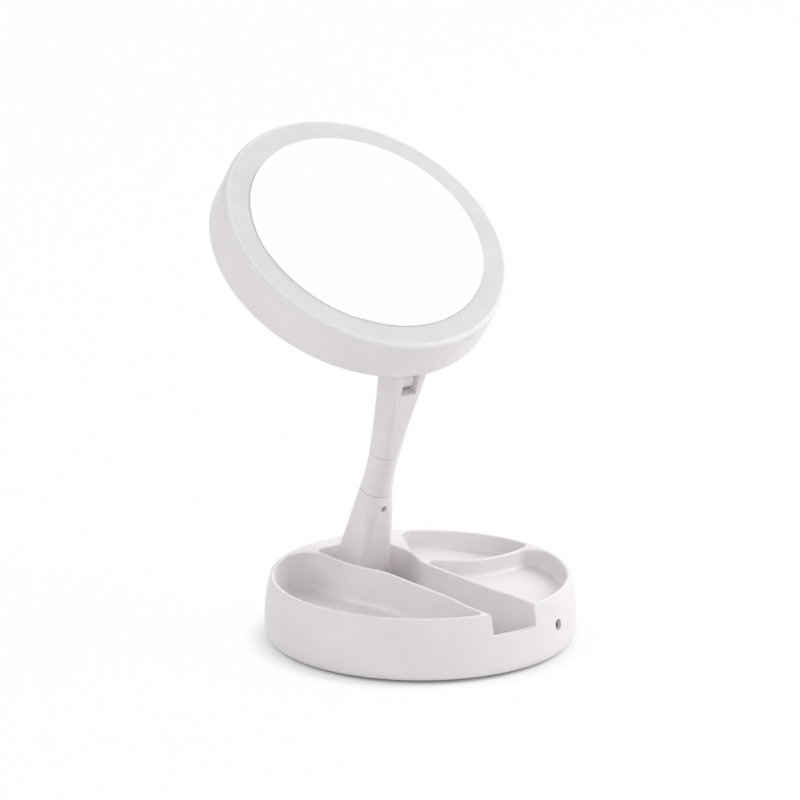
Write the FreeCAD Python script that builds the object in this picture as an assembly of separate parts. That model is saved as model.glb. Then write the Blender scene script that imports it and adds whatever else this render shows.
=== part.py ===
import FreeCAD, Part
import math
import os
from FreeCAD import Placement, Rotation, Vector

# Lighted makeup mirror that folds flat onto a round tray base.
# Millimetres. Origin on the table under the middle of the base, +Z up, the user sits at -Y.
# The arm turns on a pin in the base, swivels at its collar and carries the mirror head on a fork.

# Base tray
BASE_RADIUS = 87.5
BASE_WIDEST_Z = 11.0
RIM_INSET = 3.3
BASE_HEIGHT = 36.6
RIM_WALL = 2.4
BASE_WALL = 2.4
RIM_ROUND = 0.9
FLOOR_WALL = 2.2
BASE_EDGE = 0.8

# How full the base's outer curve is, as shares of its width and height
WALL_LOW_PULL = 0.8
WALL_LOW_RISE = 0.22
WALL_SIDE_RISE = 0.35
WALL_TOP_PULL = 0.65
WALL_TOP_RISE = 0.7

# Bottom cover and what the mirror stands on
FOOT_PROUD = 1.2
FOOT_SEAT = 0.6
FOOT_INSET = 1.8
FOOT_WIDTH = 4.4
FOOT_LONG_ARC = 220.0
FOOT_SHORT_ARC = 70.0
COVER_THICKNESS = 2.0
COVER_INSET = 7.3
COVER_GAP = 0.2

# Slot that the arm folds into, half widths from the middle plane
SLOT_REAR_HALF = 20.0
SLOT_WAIST_HALF = 13.0
SLOT_MOUTH_HALF = 15.0
SLOT_REAR_SETBACK = 9.0
SLOT_SHOULDER_Y = 44.0
SLOT_WAIST_REAR_Y = 7.0
SLOT_WAIST_FRONT_Y = -42.0
SLOT_MOUTH_Y = -66.0
SLOT_CORNER = 7.0
SLOT_WALL = 2.5
SLOT_FLOOR = 1.8
NOTCH_BOTTOM_Z = 24.5

# Tray pockets
LEFT_POCKET_FLOOR_Z = 15.0
LEFT_POCKET_REAR_ROUND = 12.0
RIGHT_POCKET_FLOOR_Z = 26.5
POCKET_TIP_ROUND = 3.2
POCKET_COVE = 3.0
REAR_POCKET_ROUND = 6.0
FRONT_POCKET_ROUND = 10.0
LAND_LOW = (23.2, 39.9)
LAND_HIGH = (38.0, 67.6)
DIVIDER_WALL = 3.0
DIVIDER_LEAD = 1.5
DIVIDER_LINE = ((20.2, 17.3), (28.4, 9.6), (37.4, 2.7), (49.4, -0.3), (63.6, -0.6))
DIVIDER_END_INSET = 4.2
DIVIDER_END_Y = 3.2

# Fasteners
SCREW_SHANK_RADIUS = 1.2
SCREW_HEAD_RADIUS = 2.4
SCREW_HEAD_HEIGHT = 1.4
SCREW_HOLE_RADIUS = 1.3
SCREW_CUT_DEPTH = 0.7
SCREW_CUT_WIDTH = 0.7
SCREW_CUT_REACH = 1.7
PILLAR_RADIUS = 3.6
BASE_SCREW_ANGLES = (180.0, 130.0, -130.0, 10.0, 60.6, -57.0)
BASE_SCREW_INSET = 4.0
BASE_SCREW_LENGTH = 8.0

# Batteries and their bay
CELL_RADIUS = 7.1
CELL_LENGTH = 50.5
CELL_NUB_RADIUS = 2.7
CELL_NUB_LENGTH = 1.5
CELL_PITCH = 15.0
CELL_GAP = 0.3
BAY_INNER_X = 25.6
BAY_WALL = 1.6
CONTACT_PLATE = 0.4
SPRING_LENGTH = 3.2
DOME_BASE_RADIUS = 4.2
DOME_TOP_RADIUS = 2.4
DOOR_THICKNESS = 1.0
DOOR_LEDGE = 1.2
DOOR_GAP = 0.15
DOOR_TRAVEL = 12.0
DOOR_GROOVES = 4
DOOR_GROOVE_PITCH = 3.0
DOOR_GROOVE_WIDTH = 1.5
DOOR_GROOVE_LENGTH = 26.0
DOOR_GROOVE_DEPTH = 0.35

# Power inlet, switch and button in the side wall, angles from +X
JACK_ANGLE = -66.3
JACK_Z = 20.1
JACK_HOLE_RADIUS = 3.1
JACK_WIDTH = 9.0
JACK_HEIGHT = 7.0
JACK_LENGTH = 11.0
JACK_BORE_RADIUS = 2.75
JACK_BORE_DEPTH = 9.0
JACK_PIN_RADIUS = 1.0
JACK_PIN_SUNK = 1.0
JACK_SUNK = 1.0
BUTTON_ANGLE = -20.0
BUTTON_Z = 16.0
BUTTON_RADIUS = 4.5
BUTTON_PROUD = 1.3
BUTTON_ROUND = 0.7
BUTTON_GAP = 0.2
BUTTON_TRAVEL = 1.0
BUTTON_FLANGE = 1.2
BUTTON_FLANGE_GAP = 1.2
BUTTON_FLANGE_LIP = 1.3
BUTTON_STEM_RADIUS = 1.4
BUTTON_STEM_ENTRY = 0.5
SWITCH_SIDE = 8.0
SWITCH_DEPTH = 6.0
SWITCH_GAP = 1.5
BOARD_THICKNESS = 1.2
BOARD_WIDTH = 20.0
BOARD_HEIGHT = 16.0
CRADLE_RISE = 4.0
CRADLE_WALL = 1.5

# Arm pivot in the base
PIVOT_SETBACK = 13.6
PIVOT_Z = 21.3
PIVOT_PIN_RADIUS = 2.5
PIVOT_BOSS_RADIUS = 6.3
PIVOT_PIN_GRIP = 8.5
WASHER_THICKNESS = 1.0
WASHER_RADIUS = 6.0
RUNNING_GAP = 0.05
SIDE_GAP = 0.05

# Arm. A section is its drop below the collar (lower arm) or the hinge (upper arm), its half widths
# in X and Y and its corner radius; a lower section also stands forward of the arm's middle line
ARM_LEAN = 18.3
FOLD_FORWARD = 1.3
FOLD_GAP = 0.4
ARM_WALL = 2.0
FOOT_HALF_X = 10.7
FOOT_ROUND_RADIUS = 10.2
FOOT_CORNER = 2.2
LOWER_SECTIONS = ((40.0, 10.7, 11.2, 3.0, 1.8), (25.0, 10.4, 10.2, 4.8, 1.7), (12.0, 10.0, 9.7, 7.2, 1.0))
COLLAR_DROP = 49.7
COLLAR_LENGTH = 24.3
COLLAR_WAIST_DROP = 10.3
COLLAR_LOW_RADIUS = 9.1
COLLAR_WAIST_RADIUS = 8.25
COLLAR_HIGH_RADIUS = 8.4
SEAM_GAP = 0.25
UPPER_SECTIONS = ((29.0, 8.6, 8.2, 4.8), (12.4, 9.25, 8.6, 2.6), (-1.6, 9.8, 9.0, 1.0))
FORK_END = 8.6
FORK_ROUND = 4.0
FORK_SLOT_DEPTH = 6.6
EAR_SKIN = 1.6
ARM_SCREW_DROP = 7.6
ARM_SCREW_HOLE_RADIUS = 1.8
ARM_SCREW_HEAD_RADIUS = 1.7
ARM_SCREW_SEAT = 4.8
ARM_SCREW_SHELF = 1.2
ARM_SCREW_LENGTH = 10.0
ARM_SCREW_BOSS_RADIUS = 3.2
CORNER_LEAST = 0.3
UPPER_SCREW_DROPS = (26.5, 13.5)

# Swivel inside the collar
SPINDLE_RADIUS = 5.0
SPINDLE_BORE = 3.0
SPINDLE_FLANGE_RADIUS = 6.2
SPINDLE_FLANGE = 1.6
SPINDLE_WALL = 2.0
SWIVEL_WALL = 3.0
SWIVEL_WASHER = 0.8
SWIVEL_NUT = 2.4
SWIVEL_NUT_RADIUS = 6.2

# Mirror head, seen folded flat: Y along the head from its hinge, Z from the hinge to the glass
HEAD_TILT = 36.9
HEAD_RADIUS = 84.6
HEAD_THICKNESS = 27.6
HINGE_INSET = 13.1
HEAD_WALL = 2.4
HEAD_BACK_ROUND = 3.0
RING_WIDTH = 14.7
GLASS_THICKNESS = 2.8
GLASS_PROUD = 0.8
GLASS_GAP = 0.15
DIFFUSER_DEPTH = 3.4
DIFFUSER_WALL = 2.0
DIFFUSER_ROUND = 2.6
DIFFUSER_SEAM = 0.08
GLASS_GRIND = 0.4
PAD_THICKNESS = 0.6
PAD_WIDTH = 14.0
PAD_INSET = 1.0
CARRIER_INSET = 12.2
CARRIER_THICKNESS = 2.2
CARRIER_HUB_INSET = 3.5
CARRIER_HUB_WALL = 2.0
BACK_RING_WIDTH = 18.1
MAGNIFIER_THICKNESS = 2.4
MAGNIFIER_CURVE = 600.0
MAGNIFIER_LIP = 2.0
WINDOW_ROUND = 1.2
SEAT_WALL = 1.5
SEAT_RISE = 4.5
HEAD_PILLAR_RADIUS = 3.2
LED_BOARD_INSET = 3.2
LED_BOARD_WIDTH = 6.4
LED_BOARD_THICKNESS = 1.2
LED_BOARD_RISE = 11.0
LED_COUNT = 30
LED_LENGTH = 3.5
LED_WIDTH = 2.8
LED_HEIGHT = 1.4
HEAD_SCREW_COUNT = 6
HEAD_SCREW_INSET = 13.2
HEAD_SCREW_LENGTH = 9.0
LUG_HALF_X = 4.5
LUG_RADIUS = 6.0
LUG_FRONT = ((-3.0, 5.2), (1.6, 8.2), (1.6, 11.0), (-4.2, 15.2))
LUG_REAR_Y = 6.0
LUG_REAR_LOW_Z = 8.0
HINGE_PIN_RADIUS = 2.0
HINGE_WASHER = 0.6
HINGE_WASHER_RADIUS = 5.0

# Worked out from the sizes above
RIM_RADIUS = BASE_RADIUS - RIM_INSET
RIM_INNER = RIM_RADIUS - RIM_WALL
COVER_RADIUS = BASE_RADIUS - COVER_INSET
FOOT_OUTER_RADIUS = COVER_RADIUS - FOOT_INSET
BASE_SCREW_CIRCLE = FOOT_OUTER_RADIUS - FOOT_WIDTH - BASE_SCREW_INSET
SLOT_REAR_Y = RIM_INNER - SLOT_REAR_SETBACK
PIVOT_Y = SLOT_REAR_Y - PIVOT_SETBACK
COVER_BOTTOM = FOOT_PROUD
COVER_TOP = COVER_BOTTOM + COVER_THICKNESS
SLOT_FLOOR_Z = COVER_TOP + SLOT_FLOOR
FAR = 2.0 * BASE_RADIUS
CLOSE = 0.001
DOOR_TOP = COVER_BOTTOM + DOOR_THICKNESS
CELL_Z = DOOR_TOP + CELL_GAP + CELL_RADIUS
BAY_ROOF_Z = CELL_Z + CELL_RADIUS + CELL_GAP
BAY_OUTER_X = BAY_INNER_X + CELL_PITCH + 2.0 * CELL_RADIUS + 2.0 * CELL_GAP
BAY_HALF_Y = CELL_LENGTH + SPRING_LENGTH / 2.0 + CONTACT_PLATE
BOSS_FACE_X = FOOT_HALF_X + WASHER_THICKNESS + 2.0 * SIDE_GAP
HEAD_OFFSET_Y = HEAD_RADIUS - HINGE_INSET
HEAD_BACK_Z = BASE_HEIGHT + FOLD_GAP - PIVOT_Z
HEAD_FRONT_Z = HEAD_BACK_Z + HEAD_THICKNESS
HEAD_SCREW_CIRCLE = HEAD_RADIUS - HEAD_SCREW_INSET
GLASS_RADIUS = HEAD_RADIUS - RING_WIDTH
MAGNIFIER_RADIUS = HEAD_RADIUS - BACK_RING_WIDTH
CARRIER_RADIUS = HEAD_RADIUS - CARRIER_INSET
CARRIER_HUB_RADIUS = MAGNIFIER_RADIUS - CARRIER_HUB_INSET
LED_BOARD_OUTER = HEAD_RADIUS - LED_BOARD_INSET
LED_BOARD_INNER = LED_BOARD_OUTER - LED_BOARD_WIDTH
ARM_LENGTH = PIVOT_Y + HEAD_OFFSET_Y + FOLD_FORWARD
COLLAR_HIGH_S = ARM_LENGTH - COLLAR_DROP
COLLAR_WAIST_S = COLLAR_HIGH_S - COLLAR_WAIST_DROP
COLLAR_LOW_S = COLLAR_HIGH_S - COLLAR_LENGTH
ARM_SCREW_S = COLLAR_LOW_S - ARM_SCREW_DROP
GLASS_FRONT_Z = HEAD_FRONT_Z + GLASS_PROUD
GLASS_BACK_Z = GLASS_FRONT_Z - GLASS_THICKNESS
CARRIER_TOP = GLASS_BACK_Z - PAD_THICKNESS
CARRIER_BOTTOM = CARRIER_TOP - CARRIER_THICKNESS
DIFFUSER_LOW_Z = HEAD_FRONT_Z - DIFFUSER_DEPTH
EAR_INNER_X = LUG_HALF_X + HINGE_WASHER + 2.0 * SIDE_GAP
EAR_OUTER_X = UPPER_SECTIONS[-1][1]
X_AXIS = Vector(1, 0, 0)
Y_AXIS = Vector(0, 1, 0)
Z_AXIS = Vector(0, 0, 1)
ORIGIN = Vector(0, 0, 0)
PRINT_TOLERANCE = 0.1


def exported(name, shape):
    """Write one piece, or one group of like pieces, to its own file."""
    solids = shape.Solids
    for solid in solids:
        if not solid.isValid():
            raise ValueError(name + " is not a valid solid")
    piece = solids[0] if len(solids) == 1 else Part.makeCompound(solids)
    piece.exportStep(os.path.join("parts", name + ".step"))
    box = FreeCAD.BoundBox()
    for point in piece.tessellate(PRINT_TOLERANCE)[0]:
        box.add(point)
    print("%-18s %2d solid(s) %9.1f mm3, %.1f x %.1f x %.1f mm" % (
        name, len(solids), piece.Volume, box.XLength, box.YLength, box.ZLength))


def upright(radius, low, high, x=0.0, y=0.0):
    """A cylinder that stands along Z from low to high."""
    return Part.makeCylinder(radius, high - low, Vector(x, y, low), Z_AXIS)


def crosswise(radius, low, high, y=0.0, z=0.0):
    """A cylinder that lies along X from low to high."""
    return Part.makeCylinder(radius, high - low, Vector(low, y, z), X_AXIS)


def block(x_low, x_high, y_low, y_high, z_low, z_high):
    """A box between two corners."""
    return Part.makeBox(x_high - x_low, y_high - y_low, z_high - z_low, Vector(x_low, y_low, z_low))


def tube(outer, inner, low, high):
    """A round tube that stands along Z."""
    return upright(outer, low, high).cut(upright(inner, low - 1.0, high + 1.0))


def prism(edges, low, high):
    """The solid over a flat outline drawn at Z = 0."""
    face = Part.Face(Part.Wire(Part.sortEdges(edges)[0]))
    face.translate(Vector(0, 0, low))
    return face.extrude(Vector(0, 0, high - low))


def polygon(points, low, high):
    """The solid over a straight-sided outline."""
    corners = [Vector(x, y, 0) for x, y in points]
    return prism(Part.makePolygon(corners + corners[:1]).Edges, low, high)


def turned(edges, span=360.0):
    """The solid of a closed profile in the XZ plane, turned about Z."""
    face = Part.Face(Part.Wire(Part.sortEdges(edges)[0]))
    return face.revolve(ORIGIN, Z_AXIS, span)


def line(start, end):
    """A straight edge between two points given as (x, z) in the XZ plane."""
    return Part.makeLine(Vector(start[0], 0, start[1]), Vector(end[0], 0, end[1]))


def bezier(points):
    """A smooth edge pulled by its control points, given as (x, z) in the XZ plane."""
    curve = Part.BezierCurve()
    curve.setPoles([Vector(x, 0, z) for x, z in points])
    return curve.toShape()


def rounded_rectangle(station, half_x, half_y, corner, forward=0.0):
    """A rounded rectangle across the arm at one station along it, set forward of the arm's middle line."""
    x = half_x - corner
    y = half_y - corner
    lean = corner * math.sqrt(0.5)
    corners = ((x, y), (-x, y), (-x, -y), (x, -y))
    outwards = ((1, 0), (0, 1), (-1, 0), (0, -1))
    edges = []
    corners = [(x, y - forward) for x, y in corners]
    for index, (x, y) in enumerate(corners):
        out_x, out_y = outwards[index]
        next_out_x, next_out_y = outwards[(index + 1) % 4]
        next_x, next_y = corners[(index + 1) % 4]
        first = Vector(x + corner * out_x, y + corner * out_y, station)
        middle = Vector(x + lean * (out_x + next_out_x), y + lean * (out_y + next_out_y), station)
        last = Vector(x + corner * next_out_x, y + corner * next_out_y, station)
        after = Vector(next_x + corner * next_out_x, next_y + corner * next_out_y, station)
        edges.append(Part.Arc(first, middle, last).toShape())
        edges.append(Part.makeLine(last, after))
    return Part.Wire(edges)


def plan_line(start, end):
    """A straight edge between two points given as (x, y)."""
    return Part.makeLine(Vector(start[0], start[1], 0), Vector(end[0], end[1], 0))


def plan_curve(points):
    """A smooth edge pulled by its control points, given as (x, y)."""
    curve = Part.BezierCurve()
    curve.setPoles([Vector(x, y, 0) for x, y in points])
    return curve.toShape()


def upright_edge(solid, x, y):
    """The edge along Z that stands nearest to a point in plan."""
    found = []
    for edge in solid.Edges:
        low = edge.Vertexes[0].Point
        high = edge.Vertexes[-1].Point
        if abs(low.z - high.z) > CLOSE and math.hypot(low.x - high.x, low.y - high.y) < CLOSE:
            found.append((math.hypot(low.x - x, low.y - y), len(found), edge))
    return min(found)[2]


def edges_at_height(solid, z):
    """All edges that lie flat at one height."""
    found = []
    for edge in solid.Edges:
        box = edge.BoundBox
        if box.ZLength < CLOSE and abs(box.ZMin - z) < CLOSE:
            found.append(edge)
    return found


def polar(radius, angle):
    """A point in plan from its radius and its angle from +X in degrees."""
    return radius * math.cos(math.radians(angle)), radius * math.sin(math.radians(angle))


def radial(shape, angle, z):
    """A piece drawn along +X from the middle, swung to its place in the side wall."""
    return placed(shape, Placement(Vector(0, 0, z), Rotation(Z_AXIS, angle)))


def placed(shape, placement):
    """A copy of a piece at its place."""
    moved = shape.copy()
    moved.Placement = placement.multiply(moved.Placement)
    return moved


def joined(shapes):
    """Several overlapping shapes as one solid."""
    return shapes[0].multiFuse(shapes[1:]).removeSplitter() if len(shapes) > 1 else shapes[0]


def screw(length):
    """A pan-head screw along Z with its head down at Z = 0 and a cross cut in the head."""
    body = upright(SCREW_HEAD_RADIUS, 0.0, SCREW_HEAD_HEIGHT).fuse(upright(SCREW_SHANK_RADIUS, 0.0, length))
    half = SCREW_CUT_WIDTH / 2.0
    reach = SCREW_CUT_REACH
    body = body.cut(block(-reach, reach, -half, half, -1.0, SCREW_CUT_DEPTH))
    return body.cut(block(-half, half, -reach, reach, -1.0, SCREW_CUT_DEPTH)).removeSplitter()


def wall_profile(inset):
    """The outer wall of the base as edges from its bottom edge to its rim, moved in by inset."""
    low = COVER_RADIUS + COVER_GAP + BASE_EDGE - inset
    wide = BASE_RADIUS - inset
    top = RIM_RADIUS - inset
    knee = BASE_WIDEST_Z - COVER_BOTTOM
    rise = BASE_HEIGHT - BASE_WIDEST_Z
    under = bezier(((low, COVER_BOTTOM), (low + (wide - low) * WALL_LOW_PULL, COVER_BOTTOM),
                    (wide, COVER_BOTTOM + knee * WALL_LOW_RISE), (wide, BASE_WIDEST_Z)))
    lean = top + (wide - top) * WALL_TOP_PULL
    side = bezier(((wide, BASE_WIDEST_Z), (wide, BASE_WIDEST_Z + rise * WALL_SIDE_RISE),
                   (lean, BASE_WIDEST_Z + rise * WALL_TOP_RISE), (top, BASE_HEIGHT)))
    return [line((0.0, COVER_BOTTOM), (low, COVER_BOTTOM)), under, side,
            line((top, BASE_HEIGHT), (0.0, BASE_HEIGHT)), line((0.0, BASE_HEIGHT), (0.0, COVER_BOTTOM))]


def slot_side(side, offset):
    """One side wall of the slot in plan, from far behind to far in front, moved outwards by offset."""
    rear = side * (SLOT_REAR_HALF + offset)
    waist = side * (SLOT_WAIST_HALF + offset)
    mouth = side * (SLOT_MOUTH_HALF + offset)
    rear_bend = (SLOT_SHOULDER_Y + SLOT_WAIST_REAR_Y) / 2.0
    front_bend = (SLOT_WAIST_FRONT_Y + SLOT_MOUTH_Y) / 2.0
    return [
        plan_line((rear, FAR), (rear, SLOT_SHOULDER_Y)),
        plan_curve(((rear, SLOT_SHOULDER_Y), (rear, rear_bend),
                    (waist, rear_bend), (waist, SLOT_WAIST_REAR_Y))),
        plan_line((waist, SLOT_WAIST_REAR_Y), (waist, SLOT_WAIST_FRONT_Y)),
        plan_curve(((waist, SLOT_WAIST_FRONT_Y), (waist, front_bend),
                    (mouth, front_bend), (mouth, SLOT_MOUTH_Y))),
        plan_line((mouth, SLOT_MOUTH_Y), (mouth, -FAR)),
    ]


def beside_slot(side, offset, low, high):
    """Everything on one side of the slot, from its wall outwards."""
    rear = side * (SLOT_REAR_HALF + offset)
    mouth = side * (SLOT_MOUTH_HALF + offset)
    edges = slot_side(side, offset)
    edges.append(plan_line((mouth, -FAR), (side * FAR, -FAR)))
    edges.append(plan_line((side * FAR, -FAR), (side * FAR, FAR)))
    edges.append(plan_line((side * FAR, FAR), (rear, FAR)))
    return prism(edges, low, high)


def slot_space(inside):
    """The slot's hollow: down to its floor inside the wall, and through the wall at the notch."""
    top = BASE_HEIGHT + FLOOR_WALL
    edges = slot_side(-1, 0.0) + slot_side(1, 0.0)
    edges.append(plan_line((-SLOT_REAR_HALF, FAR), (SLOT_REAR_HALF, FAR)))
    edges.append(plan_line((-SLOT_MOUTH_HALF, -FAR), (SLOT_MOUTH_HALF, -FAR)))
    behind = block(-FAR, FAR, SLOT_REAR_Y, 2.0 * FAR, -FAR, FAR)
    deep = prism(edges, SLOT_FLOOR_Z, top).cut(behind)
    rear_edges = [upright_edge(deep, side * SLOT_REAR_HALF, SLOT_REAR_Y) for side in (-1, 1)]
    deep = deep.makeFillet(SLOT_CORNER, rear_edges)
    notch = deep.common(block(-FAR, FAR, -2.0 * FAR, 0.0, NOTCH_BOTTOM_Z, top))
    open_top = deep.common(block(-FAR, FAR, SLOT_MOUTH_Y, FAR, SLOT_FLOOR_Z, top))
    return deep.common(inside).fuse(notch).fuse(open_top)


def pocket(region, floor_z, rounds):
    """A tray pocket: a region in plan inside the rim, with rounded corners and a coved floor."""
    space = upright(RIM_INNER, floor_z, BASE_HEIGHT + FLOOR_WALL).common(region)
    for x, y, radius in rounds:
        space = space.makeFillet(radius, [upright_edge(space, x, y)])
    return space.makeFillet(POCKET_COVE, edges_at_height(space, floor_z))


def divider_points():
    """The divider's middle line, from the slot's wall to just inside the rim."""
    return DIVIDER_LINE + ((RIM_INNER - DIVIDER_END_INSET, DIVIDER_END_Y),)


def divider_side(above):
    """Everything behind (above) or in front of the curved divider between the right pockets."""
    shift = DIVIDER_WALL / 2.0 if above else -DIVIDER_WALL / 2.0
    points = [Vector(x, y + shift, 0) for x, y in divider_points()]
    lead_in = points[0] + (points[0] - points[1]) * DIVIDER_LEAD
    lead_out = points[-1] + (points[-1] - points[-2]) * DIVIDER_LEAD
    curve = Part.BSplineCurve()
    curve.interpolate([lead_in] + points + [lead_out])
    far_y = FAR if above else -FAR
    edges = [
        curve.toShape(),
        plan_line((lead_out.x, lead_out.y), (lead_out.x, far_y)),
        plan_line((lead_out.x, far_y), (lead_in.x, far_y)),
        plan_line((lead_in.x, far_y), (lead_in.x, lead_in.y)),
    ]
    return prism(edges, -FAR, FAR)


def pockets():
    """The three tray pockets: a deep one on the left and two shallow ones over the battery bay."""
    top = BASE_HEIGHT + FLOOR_WALL
    rear_x = SLOT_REAR_HALF + SLOT_WALL
    mouth_x = SLOT_MOUTH_HALF + SLOT_WALL
    rear_tip_y = math.sqrt(RIM_INNER ** 2 - rear_x ** 2)
    mouth_tip_y = math.sqrt(RIM_INNER ** 2 - mouth_x ** 2)
    left = pocket(
        beside_slot(-1, SLOT_WALL, 0.0, top), LEFT_POCKET_FLOOR_Z,
        ((-rear_x, rear_tip_y, LEFT_POCKET_REAR_ROUND), (-mouth_x, -mouth_tip_y, POCKET_TIP_ROUND)))
    right = beside_slot(1, SLOT_WALL, 0.0, top)
    low, high = Vector(LAND_LOW[0], LAND_LOW[1], 0), Vector(LAND_HIGH[0], LAND_HIGH[1], 0)
    along = (high - low).normalize()
    start, end = low - along * FAR, high + along * FAR
    off_land = polygon(
        ((start.x, start.y), (FAR * 2.0, start.y), (FAR * 2.0, end.y), (end.x, end.y)), 0.0, top)
    land_tip = high + along * (RIM_INNER - high.Length)
    divider_line = divider_points()
    divider_low, divider_end = divider_line[0], divider_line[-1]
    rear = pocket(
        right.common(off_land).common(divider_side(True)), RIGHT_POCKET_FLOOR_Z,
        ((land_tip.x, land_tip.y, REAR_POCKET_ROUND), (RIM_INNER, divider_end[1], REAR_POCKET_ROUND),
         (divider_low[0], divider_low[1], POCKET_TIP_ROUND)))
    front = pocket(
        right.common(divider_side(False)), RIGHT_POCKET_FLOOR_Z,
        ((RIM_INNER, divider_end[1], FRONT_POCKET_ROUND), (mouth_x, -mouth_tip_y, POCKET_TIP_ROUND),
         (divider_low[0], divider_low[1], POCKET_TIP_ROUND)))
    return [left, rear, front]


def base_screw_places():
    """The bottom cover's screws, on a circle inside the non-slip strips."""
    return [polar(BASE_SCREW_CIRCLE, angle) for angle in BASE_SCREW_ANGLES]


def underside(inside, side, ceiling):
    """The hollow under the pockets on one side, with its screw pillars left standing."""
    space = inside.common(beside_slot(side, SLOT_WALL, COVER_TOP, ceiling))
    for x, y in base_screw_places():
        if x * side > 0:
            space = space.cut(upright(PILLAR_RADIUS, 0.0, FAR, x, y))
            hole_top = COVER_BOTTOM + BASE_SCREW_LENGTH + 1.0
            space = space.fuse(upright(SCREW_HOLE_RADIUS, COVER_TOP, hole_top, x, y))
    return space


def base_tray():
    """The tray moulding: outer wall, pockets, slot and pivot bosses."""
    inside = turned(wall_profile(BASE_WALL))
    tray = turned(wall_profile(0.0))
    for space in [slot_space(inside)] + pockets():
        tray = tray.cut(space)
    tray = tray.makeFillet(RIM_ROUND, edges_at_height(tray, BASE_HEIGHT))
    tray = tray.cut(underside(inside, -1, LEFT_POCKET_FLOOR_Z - FLOOR_WALL))
    tray = tray.cut(underside(inside, 1, RIGHT_POCKET_FLOOR_Z - FLOOR_WALL))
    tray = tray.cut(upright(COVER_RADIUS + COVER_GAP, 0.0, COVER_TOP))
    wall_x = SLOT_REAR_HALF + SLOT_WALL / 2.0
    for low, high in ((-wall_x, -BOSS_FACE_X), (BOSS_FACE_X, wall_x)):
        tray = tray.fuse(crosswise(PIVOT_BOSS_RADIUS, low, high, PIVOT_Y, PIVOT_Z))
    grip_x = BOSS_FACE_X + PIVOT_PIN_GRIP + RUNNING_GAP
    tray = tray.cut(crosswise(PIVOT_PIN_RADIUS + RUNNING_GAP, -grip_x, grip_x, PIVOT_Y, PIVOT_Z))
    half = BASE_RADIUS / 2.0
    tray = tray.cut(radial(crosswise(JACK_HOLE_RADIUS, half, FAR), JACK_ANGLE, JACK_Z))
    return tray.cut(radial(crosswise(BUTTON_RADIUS + BUTTON_GAP, half, FAR), BUTTON_ANGLE, BUTTON_Z))


def foot_arcs():
    """Two arcs of non-slip strip under the rim, one long and one short, clear of the battery door."""
    inner = FOOT_OUTER_RADIUS - FOOT_WIDTH
    height = FOOT_PROUD + FOOT_SEAT
    outer = FOOT_OUTER_RADIUS
    section = [line((inner, 0.0), (outer, 0.0)), line((outer, 0.0), (outer, height)),
               line((outer, height), (inner, height)), line((inner, height), (inner, 0.0))]
    arcs = []
    for middle, span in ((180.0, FOOT_LONG_ARC), (0.0, FOOT_SHORT_ARC)):
        arc = turned(section, span)
        arcs.append(placed(arc, Placement(ORIGIN, Rotation(Z_AXIS, middle - span / 2.0))))
    return arcs


def wall_chain():
    """Distances from the middle of the base to the faces of the button, switch, board and jack."""
    flange = BASE_RADIUS - BASE_WALL - BUTTON_FLANGE_GAP
    flange_back = flange - BUTTON_FLANGE
    switch_front = flange_back - SWITCH_GAP
    board_front = switch_front - SWITCH_DEPTH
    jack_front = BASE_RADIUS - BASE_WALL - JACK_SUNK
    return flange, flange_back, switch_front, board_front, jack_front


def base_cover():
    """The bottom cover with the battery bay, the door's track, the jack's post and the board's cradle."""
    cover = upright(COVER_RADIUS, COVER_BOTTOM, COVER_TOP)
    bay = block(BAY_INNER_X - BAY_WALL, BAY_OUTER_X + BAY_WALL, -BAY_HALF_Y - BAY_WALL, BAY_HALF_Y + BAY_WALL,
                COVER_BOTTOM, BAY_ROOF_Z + BAY_WALL)
    flange, flange_back, switch_front, board_front, jack_front = wall_chain()
    post = block(jack_front - JACK_LENGTH, COVER_RADIUS - COVER_GAP, -JACK_WIDTH / 2.0, JACK_WIDTH / 2.0,
                 COVER_BOTTOM, JACK_Z - JACK_HEIGHT / 2.0)
    board_low = BUTTON_Z - BOARD_HEIGHT / 2.0
    cradle_half = BOARD_WIDTH / 2.0 + CRADLE_WALL
    groove_low = board_front - BOARD_THICKNESS - BUTTON_GAP
    groove_high = board_front + BUTTON_GAP
    cradle = block(groove_low - CRADLE_WALL, groove_high + CRADLE_WALL, -cradle_half, cradle_half,
                   COVER_BOTTOM, board_low + CRADLE_RISE - CRADLE_WALL)
    groove = block(groove_low, groove_high, -cradle_half + CRADLE_WALL - BUTTON_GAP,
                   cradle_half - CRADLE_WALL + BUTTON_GAP, board_low, FAR)
    cradle = cradle.cut(groove)
    cover = joined([cover, bay, radial(post, JACK_ANGLE, 0.0), radial(cradle, BUTTON_ANGLE, 0.0)])
    cover = cover.cut(block(BAY_INNER_X, BAY_OUTER_X, -BAY_HALF_Y, BAY_HALF_Y, 0.0, BAY_ROOF_Z))
    x_low, x_high, half_y = door_limits()
    cover = cover.cut(block(x_low - DOOR_TRAVEL - DOOR_GAP, x_high + DOOR_GAP,
                            -half_y - DOOR_GAP, half_y + DOOR_GAP, 0.0, DOOR_TOP + DOOR_GAP))
    for arc in foot_arcs():
        cover = cover.cut(arc)
    for x, y in base_screw_places():
        cover = cover.cut(upright(SCREW_HEAD_RADIUS + COVER_GAP, 0.0, COVER_BOTTOM + SCREW_HEAD_HEIGHT, x, y))
        cover = cover.cut(upright(SCREW_HOLE_RADIUS, 0.0, COVER_TOP + 1.0, x, y))
    return cover


def base_screws():
    """The cover's screws, heads flush with the underside."""
    return Part.makeCompound([
        placed(screw(BASE_SCREW_LENGTH), Placement(Vector(x, y, COVER_BOTTOM), Rotation()))
        for x, y in base_screw_places()])


def door_limits():
    """The battery door's edges: low X, high X and half its length in Y."""
    return BAY_INNER_X - DOOR_LEDGE, BAY_OUTER_X + DOOR_LEDGE, BAY_HALF_Y + DOOR_LEDGE


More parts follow.
